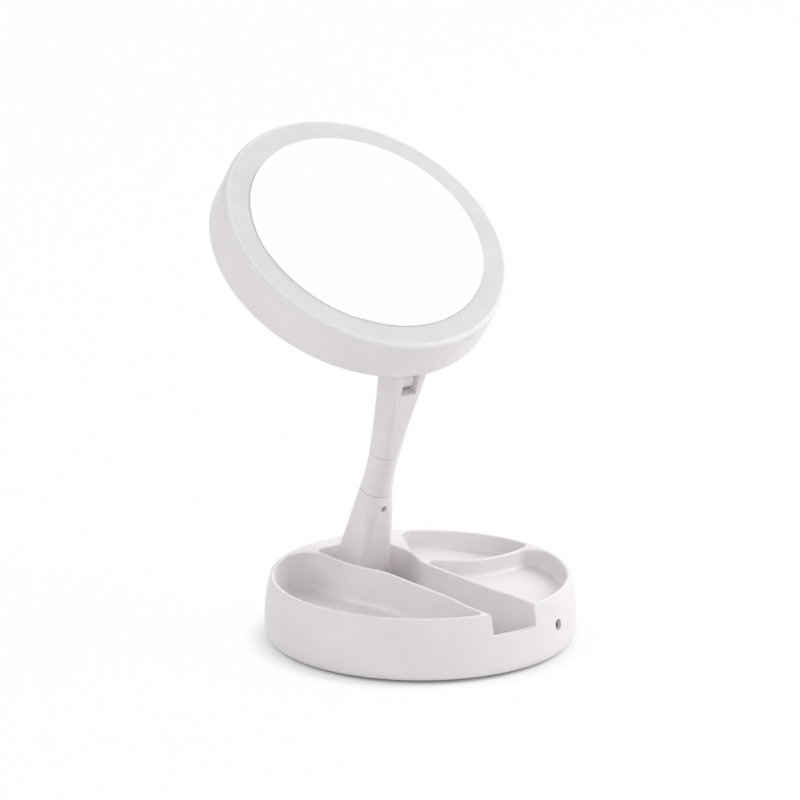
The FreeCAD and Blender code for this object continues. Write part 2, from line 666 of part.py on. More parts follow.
def battery_door():
    """The sliding battery door with finger grooves across its outer face."""
    x_low, x_high, half_y = door_limits()
    door = block(x_low, x_high, -half_y, half_y, COVER_BOTTOM, DOOR_TOP)
    middle = (x_low + x_high) / 2.0
    for index in range(DOOR_GROOVES):
        x = middle + (index - (DOOR_GROOVES - 1) / 2.0) * DOOR_GROOVE_PITCH
        door = door.cut(block(x - DOOR_GROOVE_WIDTH / 2.0, x + DOOR_GROOVE_WIDTH / 2.0,
                              -DOOR_GROOVE_LENGTH / 2.0, DOOR_GROOVE_LENGTH / 2.0,
                              COVER_BOTTOM - 1.0, COVER_BOTTOM + DOOR_GROOVE_DEPTH))
    return door


def cell_columns():
    """The middle of each battery column in X, with the end (-1 or 1) that its sprung contact is at."""
    first = BAY_INNER_X + CELL_GAP + CELL_RADIUS
    return ((first, -1), (first + CELL_PITCH, 1))


def batteries():
    """Four cells, two end to end in each column."""
    cells = []
    for x, sprung in cell_columns():
        start = -BAY_HALF_Y + CONTACT_PLATE + (SPRING_LENGTH if sprung < 0 else 0.0)
        for index in range(2):
            can = Part.makeCylinder(CELL_RADIUS, CELL_LENGTH - CELL_NUB_LENGTH, ORIGIN, Y_AXIS)
            nub = Part.makeCylinder(CELL_NUB_RADIUS, CELL_LENGTH, ORIGIN, Y_AXIS)
            cell = can.fuse(nub).removeSplitter()
            if sprung > 0:
                cell = placed(cell, Placement(Vector(0, CELL_LENGTH, 0), Rotation(Z_AXIS, 180)))
            cells.append(placed(cell, Placement(Vector(x, start + index * CELL_LENGTH, CELL_Z), Rotation())))
    return Part.makeCompound(cells)


def battery_contacts():
    """Metal contacts: one plate that links both columns at the rear, two single plates at the front."""
    half = CELL_RADIUS - CONTACT_PLATE
    low_x = cell_columns()[0][0]
    high_x = cell_columns()[1][0]
    plates = []
    for first_x, last_x, end in ((low_x, high_x, 1), (low_x, low_x, -1), (high_x, high_x, -1)):
        face_y = end * BAY_HALF_Y
        inner_y = end * (BAY_HALF_Y - CONTACT_PLATE)
        plate = block(first_x - half, last_x + half, min(face_y, inner_y), max(face_y, inner_y),
                      CELL_Z - half, CELL_Z + half)
        for x, sprung in cell_columns():
            if sprung == end and first_x <= x <= last_x:
                dome = Part.makeCone(DOME_BASE_RADIUS, DOME_TOP_RADIUS, SPRING_LENGTH,
                                     Vector(x, inner_y, CELL_Z), Vector(0, -end, 0))
                plate = plate.fuse(dome).removeSplitter()
        plates.append(plate)
    return Part.makeCompound(plates)


def dc_jack():
    """The power inlet behind the hole in the wall, with its socket and centre pin."""
    front = wall_chain()[4]
    body = block(front - JACK_LENGTH, front, -JACK_WIDTH / 2.0, JACK_WIDTH / 2.0,
                 -JACK_HEIGHT / 2.0, JACK_HEIGHT / 2.0)
    body = body.cut(crosswise(JACK_BORE_RADIUS, front - JACK_BORE_DEPTH, front + 1.0))
    pin = crosswise(JACK_PIN_RADIUS, front - JACK_LENGTH, front - JACK_PIN_SUNK)
    return radial(body.fuse(pin).removeSplitter(), JACK_ANGLE, JACK_Z)


def power_button():
    """The push button: a cap in the wall, a flange behind it and a stem into the switch."""
    flange, flange_back, switch_front, board_front, jack_front = wall_chain()
    cap = crosswise(BUTTON_RADIUS, flange, BASE_RADIUS + BUTTON_PROUD)
    outer = [edge for edge in cap.Edges if edge.BoundBox.XMin > BASE_RADIUS]
    cap = cap.makeFillet(BUTTON_ROUND, outer)
    rim = crosswise(BUTTON_RADIUS + BUTTON_FLANGE_LIP, flange_back, flange)
    stem = crosswise(BUTTON_STEM_RADIUS, switch_front - BUTTON_STEM_ENTRY, flange)
    return radial(joined([cap, rim, stem]), BUTTON_ANGLE, BUTTON_Z)


def power_switch():
    """The switch body behind the button."""
    flange, flange_back, switch_front, board_front, jack_front = wall_chain()
    half = SWITCH_SIDE / 2.0
    body = block(board_front, switch_front, -half, half, -half, half)
    bore_end = switch_front - BUTTON_STEM_ENTRY - BUTTON_TRAVEL - SWITCH_GAP
    body = body.cut(crosswise(BUTTON_STEM_RADIUS + BUTTON_GAP, bore_end, switch_front + 1.0))
    return radial(body, BUTTON_ANGLE, BUTTON_Z)


def control_board():
    """The small circuit board that carries the switch, standing in its cradle."""
    board_front = wall_chain()[3]
    board = block(board_front - BOARD_THICKNESS, board_front, -BOARD_WIDTH / 2.0, BOARD_WIDTH / 2.0,
                  -BOARD_HEIGHT / 2.0, BOARD_HEIGHT / 2.0)
    return radial(board, BUTTON_ANGLE, BUTTON_Z)


def pivot_pin():
    """The steel pin that the arm turns on."""
    half = BOSS_FACE_X + PIVOT_PIN_GRIP
    return crosswise(PIVOT_PIN_RADIUS, -half, half, PIVOT_Y, PIVOT_Z)


def ring_pair(outer, inner, x_low, thickness, y, z):
    """Two like washers on an axis along X, one on each side of the middle."""
    rings = []
    for low in (x_low, -x_low - thickness):
        hole = crosswise(inner, low - 1.0, low + thickness + 1.0, y, z)
        rings.append(crosswise(outer, low, low + thickness, y, z).cut(hole))
    return Part.makeCompound(rings)


def on_arm(shape):
    """From the arm's own frame (Z along the arm from the pivot) to its place, leaning towards the user."""
    return placed(shape, Placement(Vector(0, PIVOT_Y, PIVOT_Z), Rotation(X_AXIS, ARM_LEAN)))


def hinge_place():
    """The head's hinge axis at rest."""
    lean = math.radians(ARM_LEAN)
    return Vector(0, PIVOT_Y - ARM_LENGTH * math.sin(lean), PIVOT_Z + ARM_LENGTH * math.cos(lean))


def on_head(shape):
    """From the head's own frame (folded flat, hinge at the origin) to its place, tilted up."""
    return placed(shape, Placement(hinge_place(), Rotation(X_AXIS, HEAD_TILT)))


def arm_loft(sections, inset=0.0):
    """A smooth solid through rounded rectangles along the arm, each moved in by inset."""
    rings = []
    for station, half_x, half_y, corner, *forward in sections:
        kept = max(corner - inset, CORNER_LEAST)
        rings.append(rounded_rectangle(station, half_x - inset, half_y - inset, kept, *forward))
    return Part.makeLoft(rings, True, False)


def halves(shape):
    """The front and rear halves of an arm moulding."""
    reach = ARM_LENGTH * 2.0
    front = shape.common(block(-reach, reach, -reach, 0.0, -reach, reach))
    rear = shape.common(block(-reach, reach, 0.0, reach, -reach, reach))
    return front, rear


def with_screw(head_half, other_half, outside, station, head_side):
    """Screw bosses in both halves of an arm moulding; the head sits in a deep hole on head_side."""
    toward = Vector(0, head_side, 0)
    away = Vector(0, -head_side, 0)
    seat = Vector(0, head_side * ARM_SCREW_SEAT, station)
    meet = Vector(0, head_side * (ARM_SCREW_SEAT - ARM_SCREW_SHELF), station)
    long = ARM_LENGTH
    head_boss = Part.makeCylinder(ARM_SCREW_BOSS_RADIUS, long, meet, toward).common(outside)
    other_boss = Part.makeCylinder(ARM_SCREW_BOSS_RADIUS, long, meet, away).common(outside)
    head_half = head_half.fuse(head_boss).cut(other_boss)
    head_half = head_half.cut(Part.makeCylinder(ARM_SCREW_HOLE_RADIUS, long, seat, toward))
    head_half = head_half.cut(Part.makeCylinder(SCREW_HOLE_RADIUS, long, meet, toward))
    other_half = other_half.fuse(other_boss)
    pilot = Part.makeCylinder(SCREW_HOLE_RADIUS, ARM_SCREW_LENGTH, seat, away)
    return head_half.removeSplitter(), other_half.cut(pilot).removeSplitter()


def arm_screw(station, head_side):
    """One slim screw that holds the two halves of an arm moulding together."""
    seat = Vector(0, head_side * ARM_SCREW_SEAT, station)
    head = Part.makeCylinder(ARM_SCREW_HEAD_RADIUS, SCREW_HEAD_HEIGHT, seat, Vector(0, head_side, 0))
    shank = Part.makeCylinder(SCREW_SHANK_RADIUS, ARM_SCREW_LENGTH - 1.0, seat, Vector(0, -head_side, 0))
    half = SCREW_CUT_WIDTH / 2.0
    top = head_side * (ARM_SCREW_SEAT + SCREW_HEAD_HEIGHT)
    bottom = top - head_side * SCREW_CUT_DEPTH
    cut = block(-ARM_SCREW_HEAD_RADIUS, ARM_SCREW_HEAD_RADIUS, min(top, bottom), max(top, bottom),
                station - half, station + half)
    return head.fuse(shank).cut(cut).removeSplitter()


def lower_arm():
    """Front and rear halves of the lower arm, from its round foot to the collar."""
    top = COLLAR_LOW_S - SEAM_GAP
    neck = (top, COLLAR_LOW_RADIUS, COLLAR_LOW_RADIUS, COLLAR_LOW_RADIUS - CORNER_LEAST)
    foot = (0.0, FOOT_HALF_X, FOOT_ROUND_RADIUS, FOOT_CORNER)
    sections = tuple((COLLAR_LOW_S - size[0],) + size[1:] for size in LOWER_SECTIONS)
    outside = arm_loft((foot,) + sections + (neck,))
    round_foot = crosswise(FOOT_ROUND_RADIUS, -FOOT_HALF_X, FOOT_HALF_X)
    below = block(-FAR, FAR, -FAR, FAR, -FAR, 0.0)
    outside = outside.fuse(round_foot.common(below))
    outside = outside.common(block(-FOOT_HALF_X, FOOT_HALF_X, -FAR, FAR, -FAR, FAR)).removeSplitter()
    inner_neck = (top - SPINDLE_WALL, COLLAR_LOW_RADIUS, COLLAR_LOW_RADIUS, COLLAR_LOW_RADIUS - CORNER_LEAST)
    body = outside.cut(arm_loft(sections + (inner_neck,), ARM_WALL))
    body = body.cut(crosswise(PIVOT_PIN_RADIUS + RUNNING_GAP, -FAR, FAR))
    body = body.cut(upright(SPINDLE_RADIUS + RUNNING_GAP, top - 2.0 * SPINDLE_WALL, top + 1.0))
    front, rear = halves(body)
    return with_screw(front, rear, outside, ARM_SCREW_S, -1)


def swivel_collar():
    """The waisted collar between the two arm halves."""
    low = Vector(COLLAR_LOW_RADIUS, 0, COLLAR_LOW_S)
    waist = Vector(COLLAR_WAIST_RADIUS, 0, COLLAR_WAIST_S)
    high = Vector(COLLAR_HIGH_RADIUS, 0, COLLAR_HIGH_S)
    outer = Part.Arc(low, waist, high).toShape()
    bore = SPINDLE_RADIUS + RUNNING_GAP
    return turned([outer, line((COLLAR_HIGH_RADIUS, COLLAR_HIGH_S), (bore, COLLAR_HIGH_S)),
                   line((bore, COLLAR_HIGH_S), (bore, COLLAR_LOW_S)),
                   line((bore, COLLAR_LOW_S), (COLLAR_LOW_RADIUS, COLLAR_LOW_S))])


def swivel_stations():
    """Stations along the arm: under the spindle's flange, its top, the washer's seat and the nut's seat."""
    flange = COLLAR_LOW_S - SEAM_GAP - SPINDLE_WALL - SIDE_GAP - SPINDLE_FLANGE
    washer = COLLAR_HIGH_S + SEAM_GAP + SWIVEL_WALL + SIDE_GAP
    nut = washer + SWIVEL_WASHER
    return flange, nut + SWIVEL_NUT, washer, nut


def swivel_spindle():
    """The hollow spindle that the upper arm swivels on, with its flange inside the lower arm."""
    flange, top, washer, nut = swivel_stations()
    stem = tube(SPINDLE_RADIUS, SPINDLE_BORE, flange, top)
    foot = tube(SPINDLE_FLANGE_RADIUS, SPINDLE_BORE, flange, flange + SPINDLE_FLANGE)
    return stem.fuse(foot).removeSplitter()


def swivel_nut():
    """The six-sided nut that keeps the upper arm on the spindle."""
    flange, top, washer, nut = swivel_stations()
    points = [polar(SWIVEL_NUT_RADIUS, 60.0 * index) for index in range(6)]
    return polygon(points, nut, top).cut(upright(SPINDLE_RADIUS, nut - 1.0, top + 1.0))


def upper_screw_stations():
    """Where the upper arm's screws stand along the arm."""
    return [ARM_LENGTH - drop for drop in UPPER_SCREW_DROPS]


def upper_arm():
    """Front and rear halves of the upper arm, from the collar to the fork."""
    low = COLLAR_HIGH_S + SEAM_GAP
    end = ARM_LENGTH + FORK_END
    neck = (low, COLLAR_HIGH_RADIUS, COLLAR_HIGH_RADIUS, COLLAR_HIGH_RADIUS - CORNER_LEAST)
    head = (end + FORK_END,) + UPPER_SECTIONS[-1][1:]
    sections = tuple((ARM_LENGTH - size[0],) + size[1:] for size in UPPER_SECTIONS)
    outside = arm_loft((neck,) + sections + (head,))
    half_y = UPPER_SECTIONS[-1][2]
    blank = block(-FAR, FAR, -half_y, half_y, 0.0, end)
    top_edges = [edge for edge in edges_at_height(blank, end) if edge.BoundBox.XLength > FAR]
    outside = outside.common(blank.makeFillet(FORK_ROUND, top_edges))
    slot_bottom = ARM_LENGTH - FORK_SLOT_DEPTH
    outside = outside.cut(block(-EAR_INNER_X, EAR_INNER_X, -FAR, FAR, slot_bottom, end + 1.0))
    inner_neck = (low + SWIVEL_WALL,) + neck[1:]
    hollow = arm_loft((inner_neck,) + sections[:-1], ARM_WALL)
    body = outside.cut(hollow).cut(upright(SPINDLE_RADIUS + RUNNING_GAP, 0.0, low + 2.0 * SWIVEL_WALL))
    pin_half = EAR_OUTER_X - EAR_SKIN + RUNNING_GAP
    body = body.cut(crosswise(HINGE_PIN_RADIUS + RUNNING_GAP, -pin_half, pin_half, 0.0, ARM_LENGTH))
    front, rear = halves(body)
    for station in upper_screw_stations():
        rear, front = with_screw(rear, front, outside, station, 1)
    return front, rear


def hinge_pin():
    """The pin through the fork and the head's lug."""
    half = EAR_OUTER_X - EAR_SKIN
    place = hinge_place()
    return crosswise(HINGE_PIN_RADIUS, -half, half, place.y, place.z)


def hinge_washers():
    """Friction washers between the fork's ears and the head's lug."""
    place = hinge_place()
    return ring_pair(HINGE_WASHER_RADIUS, HINGE_PIN_RADIUS + RUNNING_GAP, LUG_HALF_X + SIDE_GAP, HINGE_WASHER,
                     place.y, place.z)


def about_head_axis(shape):
    """A piece drawn about the Z axis, moved to the middle of the folded head and then to its place."""
    return on_head(placed(shape, Placement(Vector(0, HEAD_OFFSET_Y, 0), Rotation())))


def head_screw_places():
    """The head's screws round the back ring, none of them at the lug."""
    return [polar(HEAD_SCREW_CIRCLE, 360.0 * index / HEAD_SCREW_COUNT) for index in range(HEAD_SCREW_COUNT)]


def head_rear_shell():
    """The back moulding of the head: side wall, back ring, glass seat, board rib, pillars and hinge lug."""
    ring_top = HEAD_BACK_Z + HEAD_WALL
    window = MAGNIFIER_RADIUS - MAGNIFIER_LIP
    cup = upright(HEAD_RADIUS, HEAD_BACK_Z, DIFFUSER_LOW_Z - DIFFUSER_SEAM)
    cup = cup.makeFillet(HEAD_BACK_ROUND, edges_at_height(cup, HEAD_BACK_Z))
    cup = cup.cut(upright(HEAD_RADIUS - HEAD_WALL, ring_top, FAR)).cut(upright(window, 0.0, FAR))
    middle = window + HEAD_RADIUS
    window_edge = [edge for edge in edges_at_height(cup, HEAD_BACK_Z) if edge.BoundBox.XLength < middle]
    cup = cup.makeFillet(WINDOW_ROUND, window_edge)
    seat = MAGNIFIER_RADIUS + GLASS_GAP
    pieces = [cup, tube(seat + SEAT_WALL, seat, ring_top - 1.0, ring_top + SEAT_RISE)]
    rib = (LED_BOARD_INNER + LED_BOARD_OUTER) / 2.0
    half = SEAT_WALL / 2.0
    pieces.append(tube(rib + half, rib - half, ring_top - 1.0, ring_top + LED_BOARD_RISE))
    for x, y in head_screw_places():
        pieces.append(upright(HEAD_PILLAR_RADIUS, ring_top - 1.0, ring_top + SEAT_RISE, x, y))
    shell = joined(pieces)
    for x, y in head_screw_places():
        shell = shell.cut(upright(SCREW_HEAD_RADIUS + COVER_GAP, 0.0, HEAD_BACK_Z + SCREW_HEAD_HEIGHT, x, y))
        shell = shell.cut(upright(SCREW_HOLE_RADIUS, 0.0, ring_top + SEAT_RISE + 1.0, x, y))
    shell = placed(shell, Placement(Vector(0, HEAD_OFFSET_Y, 0), Rotation()))
    return on_head(shell.fuse(hinge_lug()).removeSplitter())


def hinge_lug():
    """The lug that the head turns on, hollowed in front to clear the base as the head moves."""
    root = HEAD_BACK_Z + HEAD_WALL / 2.0
    curve = Part.BezierCurve()
    curve.setPoles([Vector(-LUG_HALF_X, y, z) for y, z in LUG_FRONT])
    top_y = LUG_FRONT[-1][0]
    corners = ((top_y, LUG_FRONT[-1][1]), (top_y, root), (LUG_REAR_Y, root), (LUG_REAR_Y, LUG_REAR_LOW_Z),
               (LUG_RADIUS, 0.0), (0.0, 0.0), LUG_FRONT[0])
    points = [Vector(-LUG_HALF_X, y, z) for y, z in corners]
    edges = [curve.toShape()] + Part.makePolygon(points).Edges
    neck = Part.Face(Part.Wire(Part.sortEdges(edges)[0])).extrude(Vector(2.0 * LUG_HALF_X, 0, 0))
    lug = neck.fuse(crosswise(LUG_RADIUS, -LUG_HALF_X, LUG_HALF_X)).removeSplitter()
    return lug.cut(crosswise(HINGE_PIN_RADIUS + RUNNING_GAP, -FAR, FAR))


def head_screws():
    """Screws through the back ring into the carrier."""
    return about_head_axis(Part.makeCompound([
        placed(screw(HEAD_SCREW_LENGTH), Placement(Vector(x, y, HEAD_BACK_Z), Rotation()))
        for x, y in head_screw_places()]))


def diffuser_ring():
    """The frosted ring round the glass that spreads the light, rounded at its outer edge."""
    inner = GLASS_RADIUS + GLASS_GAP
    ring = tube(HEAD_RADIUS, inner, DIFFUSER_LOW_Z, HEAD_FRONT_Z)
    middle = inner + HEAD_RADIUS
    outer_edge = [edge for edge in edges_at_height(ring, HEAD_FRONT_Z) if edge.BoundBox.XLength > middle]
    ring = ring.makeFillet(DIFFUSER_ROUND, outer_edge)
    groove = tube(HEAD_RADIUS - DIFFUSER_WALL, inner + DIFFUSER_WALL, 0.0, HEAD_FRONT_Z - DIFFUSER_WALL)
    ring = ring.cut(groove)
    return about_head_axis(ring.cut(tube(inner + DIFFUSER_WALL + 1.0, inner - 1.0, 0.0, CARRIER_TOP)))


def mirror_glass():
    """The plain mirror, a little proud of the ring, with a ground edge."""
    glass = upright(GLASS_RADIUS, GLASS_BACK_Z, GLASS_FRONT_Z)
    return about_head_axis(glass.makeChamfer(GLASS_GRIND, edges_at_height(glass, GLASS_FRONT_Z)))


def glass_pad():
    """The ring of adhesive foam behind the plain mirror."""
    outer = GLASS_RADIUS - PAD_INSET
    return about_head_axis(tube(outer, outer - PAD_WIDTH, CARRIER_TOP, GLASS_BACK_Z))


def magnifier_height(radius):
    """How far the hollow face of the magnifying mirror stands above its edge at one radius."""
    at_edge = math.sqrt(MAGNIFIER_CURVE ** 2 - MAGNIFIER_RADIUS ** 2)
    return math.sqrt(MAGNIFIER_CURVE ** 2 - radius ** 2) - at_edge


def magnifying_glass():
    """The hollow-ground mirror in the back of the head."""
    low = HEAD_BACK_Z + HEAD_WALL
    half = MAGNIFIER_RADIUS / 2.0
    edges = []
    for lift in (0.0, MAGNIFIER_THICKNESS):
        edges.append(Part.Arc(Vector(0, 0, low + lift + magnifier_height(0.0)),
                              Vector(half, 0, low + lift + magnifier_height(half)),
                              Vector(MAGNIFIER_RADIUS, 0, low + lift)).toShape())
    crown = low + magnifier_height(0.0)
    edges.append(line((0.0, crown), (0.0, crown + MAGNIFIER_THICKNESS)))
    edges.append(line((MAGNIFIER_RADIUS, low), (MAGNIFIER_RADIUS, low + MAGNIFIER_THICKNESS)))
    return about_head_axis(turned(edges))


def mirror_carrier():
    """The inner frame: a plate behind the plain mirror and a hub that keeps the magnifying mirror seated."""
    hub_inner = CARRIER_HUB_RADIUS - CARRIER_HUB_WALL
    rest = HEAD_BACK_Z + HEAD_WALL + MAGNIFIER_THICKNESS + magnifier_height(hub_inner) + SEAM_GAP
    pieces = [upright(CARRIER_RADIUS, CARRIER_BOTTOM, CARRIER_TOP)]
    pieces.append(tube(CARRIER_HUB_RADIUS, hub_inner, rest, CARRIER_TOP - CARRIER_THICKNESS / 2.0))
    pillar_low = HEAD_BACK_Z + HEAD_WALL + SEAT_RISE
    for x, y in head_screw_places():
        pieces.append(upright(HEAD_PILLAR_RADIUS, pillar_low, CARRIER_TOP, x, y))
    carrier = joined(pieces)
    for x, y in head_screw_places():
        hole_top = HEAD_BACK_Z + HEAD_SCREW_LENGTH + 1.0
        carrier = carrier.cut(upright(SCREW_HOLE_RADIUS, pillar_low - 1.0, hole_top, x, y))
    return about_head_axis(carrier)


def led_board():
    """The ring-shaped circuit board under the diffuser."""
    low = HEAD_BACK_Z + HEAD_WALL + LED_BOARD_RISE
    return about_head_axis(tube(LED_BOARD_OUTER, LED_BOARD_INNER, low, low + LED_BOARD_THICKNESS))


def led_chips():
    """The light-emitting diodes, evenly spaced round the board."""
    low = HEAD_BACK_Z + HEAD_WALL + LED_BOARD_RISE + LED_BOARD_THICKNESS
    middle = (LED_BOARD_INNER + LED_BOARD_OUTER) / 2.0
    chip = block(middle - LED_WIDTH / 2.0, middle + LED_WIDTH / 2.0, -LED_LENGTH / 2.0, LED_LENGTH / 2.0,
                 low, low + LED_HEIGHT)
    chips = []
    for index in range(LED_COUNT):
        chips.append(placed(chip, Placement(ORIGIN, Rotation(Z_AXIS, 360.0 * index / LED_COUNT))))
    return about_head_axis(Part.makeCompound(chips))


def main():
    """Build every piece and write it to its own file."""
    os.makedirs("parts", exist_ok=True)
    lower_front, lower_rear = lower_arm()
    upper_front, upper_rear = upper_arm()
    flange, top, washer, nut = swivel_stations()
    pieces = {
        "base_tray": base_tray(),
        "base_cover": base_cover(),
        "non_slip_strips": Part.makeCompound(foot_arcs()),
        "base_screws": base_screws(),
        "battery_door": battery_door(),
        "batteries": batteries(),
        "battery_contacts": battery_contacts(),
        "dc_jack": dc_jack(),
        "power_button": power_button(),
        "power_switch": power_switch(),
        "control_board": control_board(),
        "pivot_pin": pivot_pin(),
        "pivot_washers": ring_pair(WASHER_RADIUS, PIVOT_PIN_RADIUS + RUNNING_GAP, FOOT_HALF_X + SIDE_GAP,
                                   WASHER_THICKNESS, PIVOT_Y, PIVOT_Z),
        "lower_arm_front": on_arm(lower_front),
        "lower_arm_rear": on_arm(lower_rear),
        "lower_arm_screw": on_arm(arm_screw(ARM_SCREW_S, -1)),
        "swivel_collar": on_arm(swivel_collar()),
        "swivel_spindle": on_arm(swivel_spindle()),
        "swivel_washer": on_arm(tube(SPINDLE_FLANGE_RADIUS, SPINDLE_RADIUS + RUNNING_GAP, washer, nut)),
        "swivel_nut": on_arm(swivel_nut()),
        "upper_arm_front": on_arm(upper_front),
        "upper_arm_rear": on_arm(upper_rear),
        "upper_arm_screws": on_arm(Part.makeCompound(
            [arm_screw(station, 1) for station in upper_screw_stations()])),
        "hinge_pin": hinge_pin(),
        "hinge_washers": hinge_washers(),
        "head_rear_shell": head_rear_shell(),
        "head_screws": head_screws(),
        "diffuser_ring": diffuser_ring(),
        "mirror_glass": mirror_glass(),
        "glass_pad": glass_pad(),
        "magnifying_glass": magnifying_glass(),
        "mirror_carrier": mirror_carrier(),
        "led_board": led_board(),
        "led_chips": led_chips(),
    }
    for name, shape in pieces.items():
        exported(name, shape)


main()
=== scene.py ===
# %% [markdown]
# # A lighted makeup mirror
# A white ring-light mirror that folds down onto a round tray base. The rigid pieces come from the
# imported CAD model, which is already at its real size and place. This lesson dresses them: finishes
# that are worked out by nodes, the small fittings that CAD keeps plain, soft light and the camera.

# %% Load the frame
import math

import bpy
from mathutils import Matrix, Vector


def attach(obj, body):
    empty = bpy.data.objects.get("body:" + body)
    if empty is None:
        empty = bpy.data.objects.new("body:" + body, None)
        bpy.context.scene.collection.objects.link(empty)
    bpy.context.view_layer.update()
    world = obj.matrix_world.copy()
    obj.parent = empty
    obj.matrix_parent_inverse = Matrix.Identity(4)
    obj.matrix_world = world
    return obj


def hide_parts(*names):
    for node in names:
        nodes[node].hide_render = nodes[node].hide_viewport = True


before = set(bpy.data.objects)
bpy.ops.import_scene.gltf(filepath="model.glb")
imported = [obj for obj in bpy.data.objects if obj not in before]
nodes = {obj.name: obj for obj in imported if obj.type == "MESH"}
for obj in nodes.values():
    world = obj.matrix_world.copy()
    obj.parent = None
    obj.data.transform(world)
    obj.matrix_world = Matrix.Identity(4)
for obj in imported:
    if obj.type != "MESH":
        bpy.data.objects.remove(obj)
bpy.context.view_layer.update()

# %% [markdown]
# ## Camera
# The photograph was taken from far away with a long lens, a little above the table and to the
# user's left. The angles and the distance were fitted to the outlines of the base and the head.

# %% Place the camera
CAMERA_AZIMUTH = math.radians(-37.386)
CAMERA_ELEVATION = math.radians(15.638)
CAMERA_DISTANCE = 3.0
CAMERA_TARGET = Vector((-0.00873, 0.00743, 0.13717))
CAMERA_LENS = 243.2
CAMERA_SENSOR = 36.0

towards_camera = Vector((
    math.sin(CAMERA_AZIMUTH) * math.cos(CAMERA_ELEVATION),
    -math.cos(CAMERA_AZIMUTH) * math.cos(CAMERA_ELEVATION),
    math.sin(CAMERA_ELEVATION)))
camera_data = bpy.data.cameras.new("camera")
camera_data.lens = CAMERA_LENS
camera_data.sensor_width = CAMERA_SENSOR
camera = bpy.data.objects.new("camera", camera_data)
camera.location = CAMERA_TARGET + towards_camera * CAMERA_DISTANCE
camera.rotation_euler = towards_camera.to_track_quat("Z", "Y").to_euler()
bpy.context.scene.collection.objects.link(camera)
bpy.context.scene.camera = camera
print("camera at", [round(v, 3) for v in camera.location])

# %% [markdown]
# ## Writing node trees as sums
# A finish is a small graph of nodes, and so is a fitting that repeats. Writing each Math node by hand
# hides the idea, so one class wraps a socket and lets Python's own operators add the nodes, and
# another adds any other node in one call.


# %% A socket that can be added and multiplied
class Value:
    """A number, colour, place or shape on its way through a tree of nodes."""

    def __init__(self, graph, socket):
        self.graph = graph
        self.socket = socket

    def maths(self, operation, first, second=0.0):
        """One Math node in the same tree."""
        return self.graph.add("ShaderNodeMath", {"operation": operation}, {0: first, 1: second})

    def __add__(self, other):
        return self.maths("ADD", self, other)

    def __radd__(self, other):
        return self.maths("ADD", other, self)

    def __sub__(self, other):
        return self.maths("SUBTRACT", self, other)

    def __rsub__(self, other):
        return self.maths("SUBTRACT", other, self)

    def __mul__(self, other):
        return self.maths("MULTIPLY", self, other)

    def __rmul__(self, other):
        return self.maths("MULTIPLY", other, self)

    def __truediv__(self, other):
        return self.maths("DIVIDE", self, other)

    def __pow__(self, other):
        return self.maths("POWER", self, other)

    def distance(self, other):
        """How far a place is from the middle, from its two coordinates."""
        return (self * self + other * other) ** 0.5

    def ramp(self, low, high):
        """0 below low, 1 above high and a soft step between."""
        return self.graph.add(
            "ShaderNodeMapRange", {"interpolation_type": "SMOOTHSTEP"},
            {"Value": self, "From Min": low, "From Max": high, "To Min": 0.0, "To Max": 1.0})


class Graph:
    """A tree of nodes that grows by one call for each node."""

    def __init__(self, tree):
        self.tree = tree

    def add(self, kind, settings, inputs, output=0):
        """Add a node: its settings first, then the values or links of its sockets."""
        node = self.tree.nodes.new(kind)
        for key, setting in settings.items():
            setattr(node, key, setting)
        for key, given in inputs.items():
            self.feed(node.inputs[key], given)
        return Value(self, node.outputs[output])

    def feed(self, socket, given):
        """Link a value to a socket, or set the socket itself; a list links several to one."""
        if isinstance(given, list):
            for one in given:
                self.feed(socket, one)
        elif isinstance(given, Value):
            self.tree.links.new(given.socket, socket)
        else:
            socket.default_value = given


# %% [markdown]
# ## Finishes
# Every finish ends in one Principled shader. Its pattern reads Object coordinates, which are metres in
# the CAD frame, so a scale is a count of features for each metre.


# %% A material that is worked out by nodes
class Finish(Graph):
    """One material: its node tree, with a Principled shader at the end."""

    def __init__(self, name):
        self.material = bpy.data.materials.new(name)
        self.material.use_nodes = True
        super().__init__(self.material.node_tree)
        self.shader = self.tree.nodes["Principled BSDF"]
        self.place = self.add("ShaderNodeTexCoord", {}, {}, "Object")

    def noise(self, scale, detail, roughness):
        """Soft random values, with scale in features for each metre."""
        return self.add(
            "ShaderNodeTexNoise", {"noise_dimensions": "3D"},
            {"Vector": self.place, "Scale": scale, "Detail": detail, "Roughness": roughness}, "Fac")

    def axis(self, letter, place=None):
        """One coordinate of a place in metres."""
        return self.add("ShaderNodeSeparateXYZ", {}, {"Vector": place or self.place}, letter)

    def blend(self, share, first, second):
        """A colour between two colours."""
        node = self.tree.nodes.new("ShaderNodeMix")
        node.data_type = "RGBA"
        self.feed(node.inputs["Factor"], share)
        for key, given in (("A", first), ("B", second)):
            socket = [s for s in node.inputs if s.name == key and s.type == "RGBA"][0]
            self.feed(socket, given if isinstance(given, Value) else (*given, 1.0))
        return Value(self, [s for s in node.outputs if s.type == "RGBA"][0])

    def bump(self, height, distance, strength):
        """A normal that follows a height."""
        return self.add(
            "ShaderNodeBump", {}, {"Height": height, "Distance": distance, "Strength": strength})

    def turned_to(self, origin, tilt):
        """Places in a frame that starts at origin and is turned by tilt about X."""
        return self.add(
            "ShaderNodeMapping", {"vector_type": "TEXTURE"},
            {"Vector": self.place, "Location": origin, "Rotation": (tilt, 0.0, 0.0)})

    def put(self, **sockets):
        """Set the shader's sockets; an underscore in a name stands for a space."""
        for key, given in sockets.items():
            socket = self.shader.inputs[key.replace("_", " ")]
            if socket.type == "RGBA" and not isinstance(given, Value):
                given = (*given, 1.0)
            self.feed(socket, given)
        return self.material


def dress(material, *names):
    """Give CAD nodes their finish."""
    for name in names:
        slots = nodes[name].data.materials
        slots.clear()
        slots.append(material)
    print(material.name, "on", ", ".join(names))


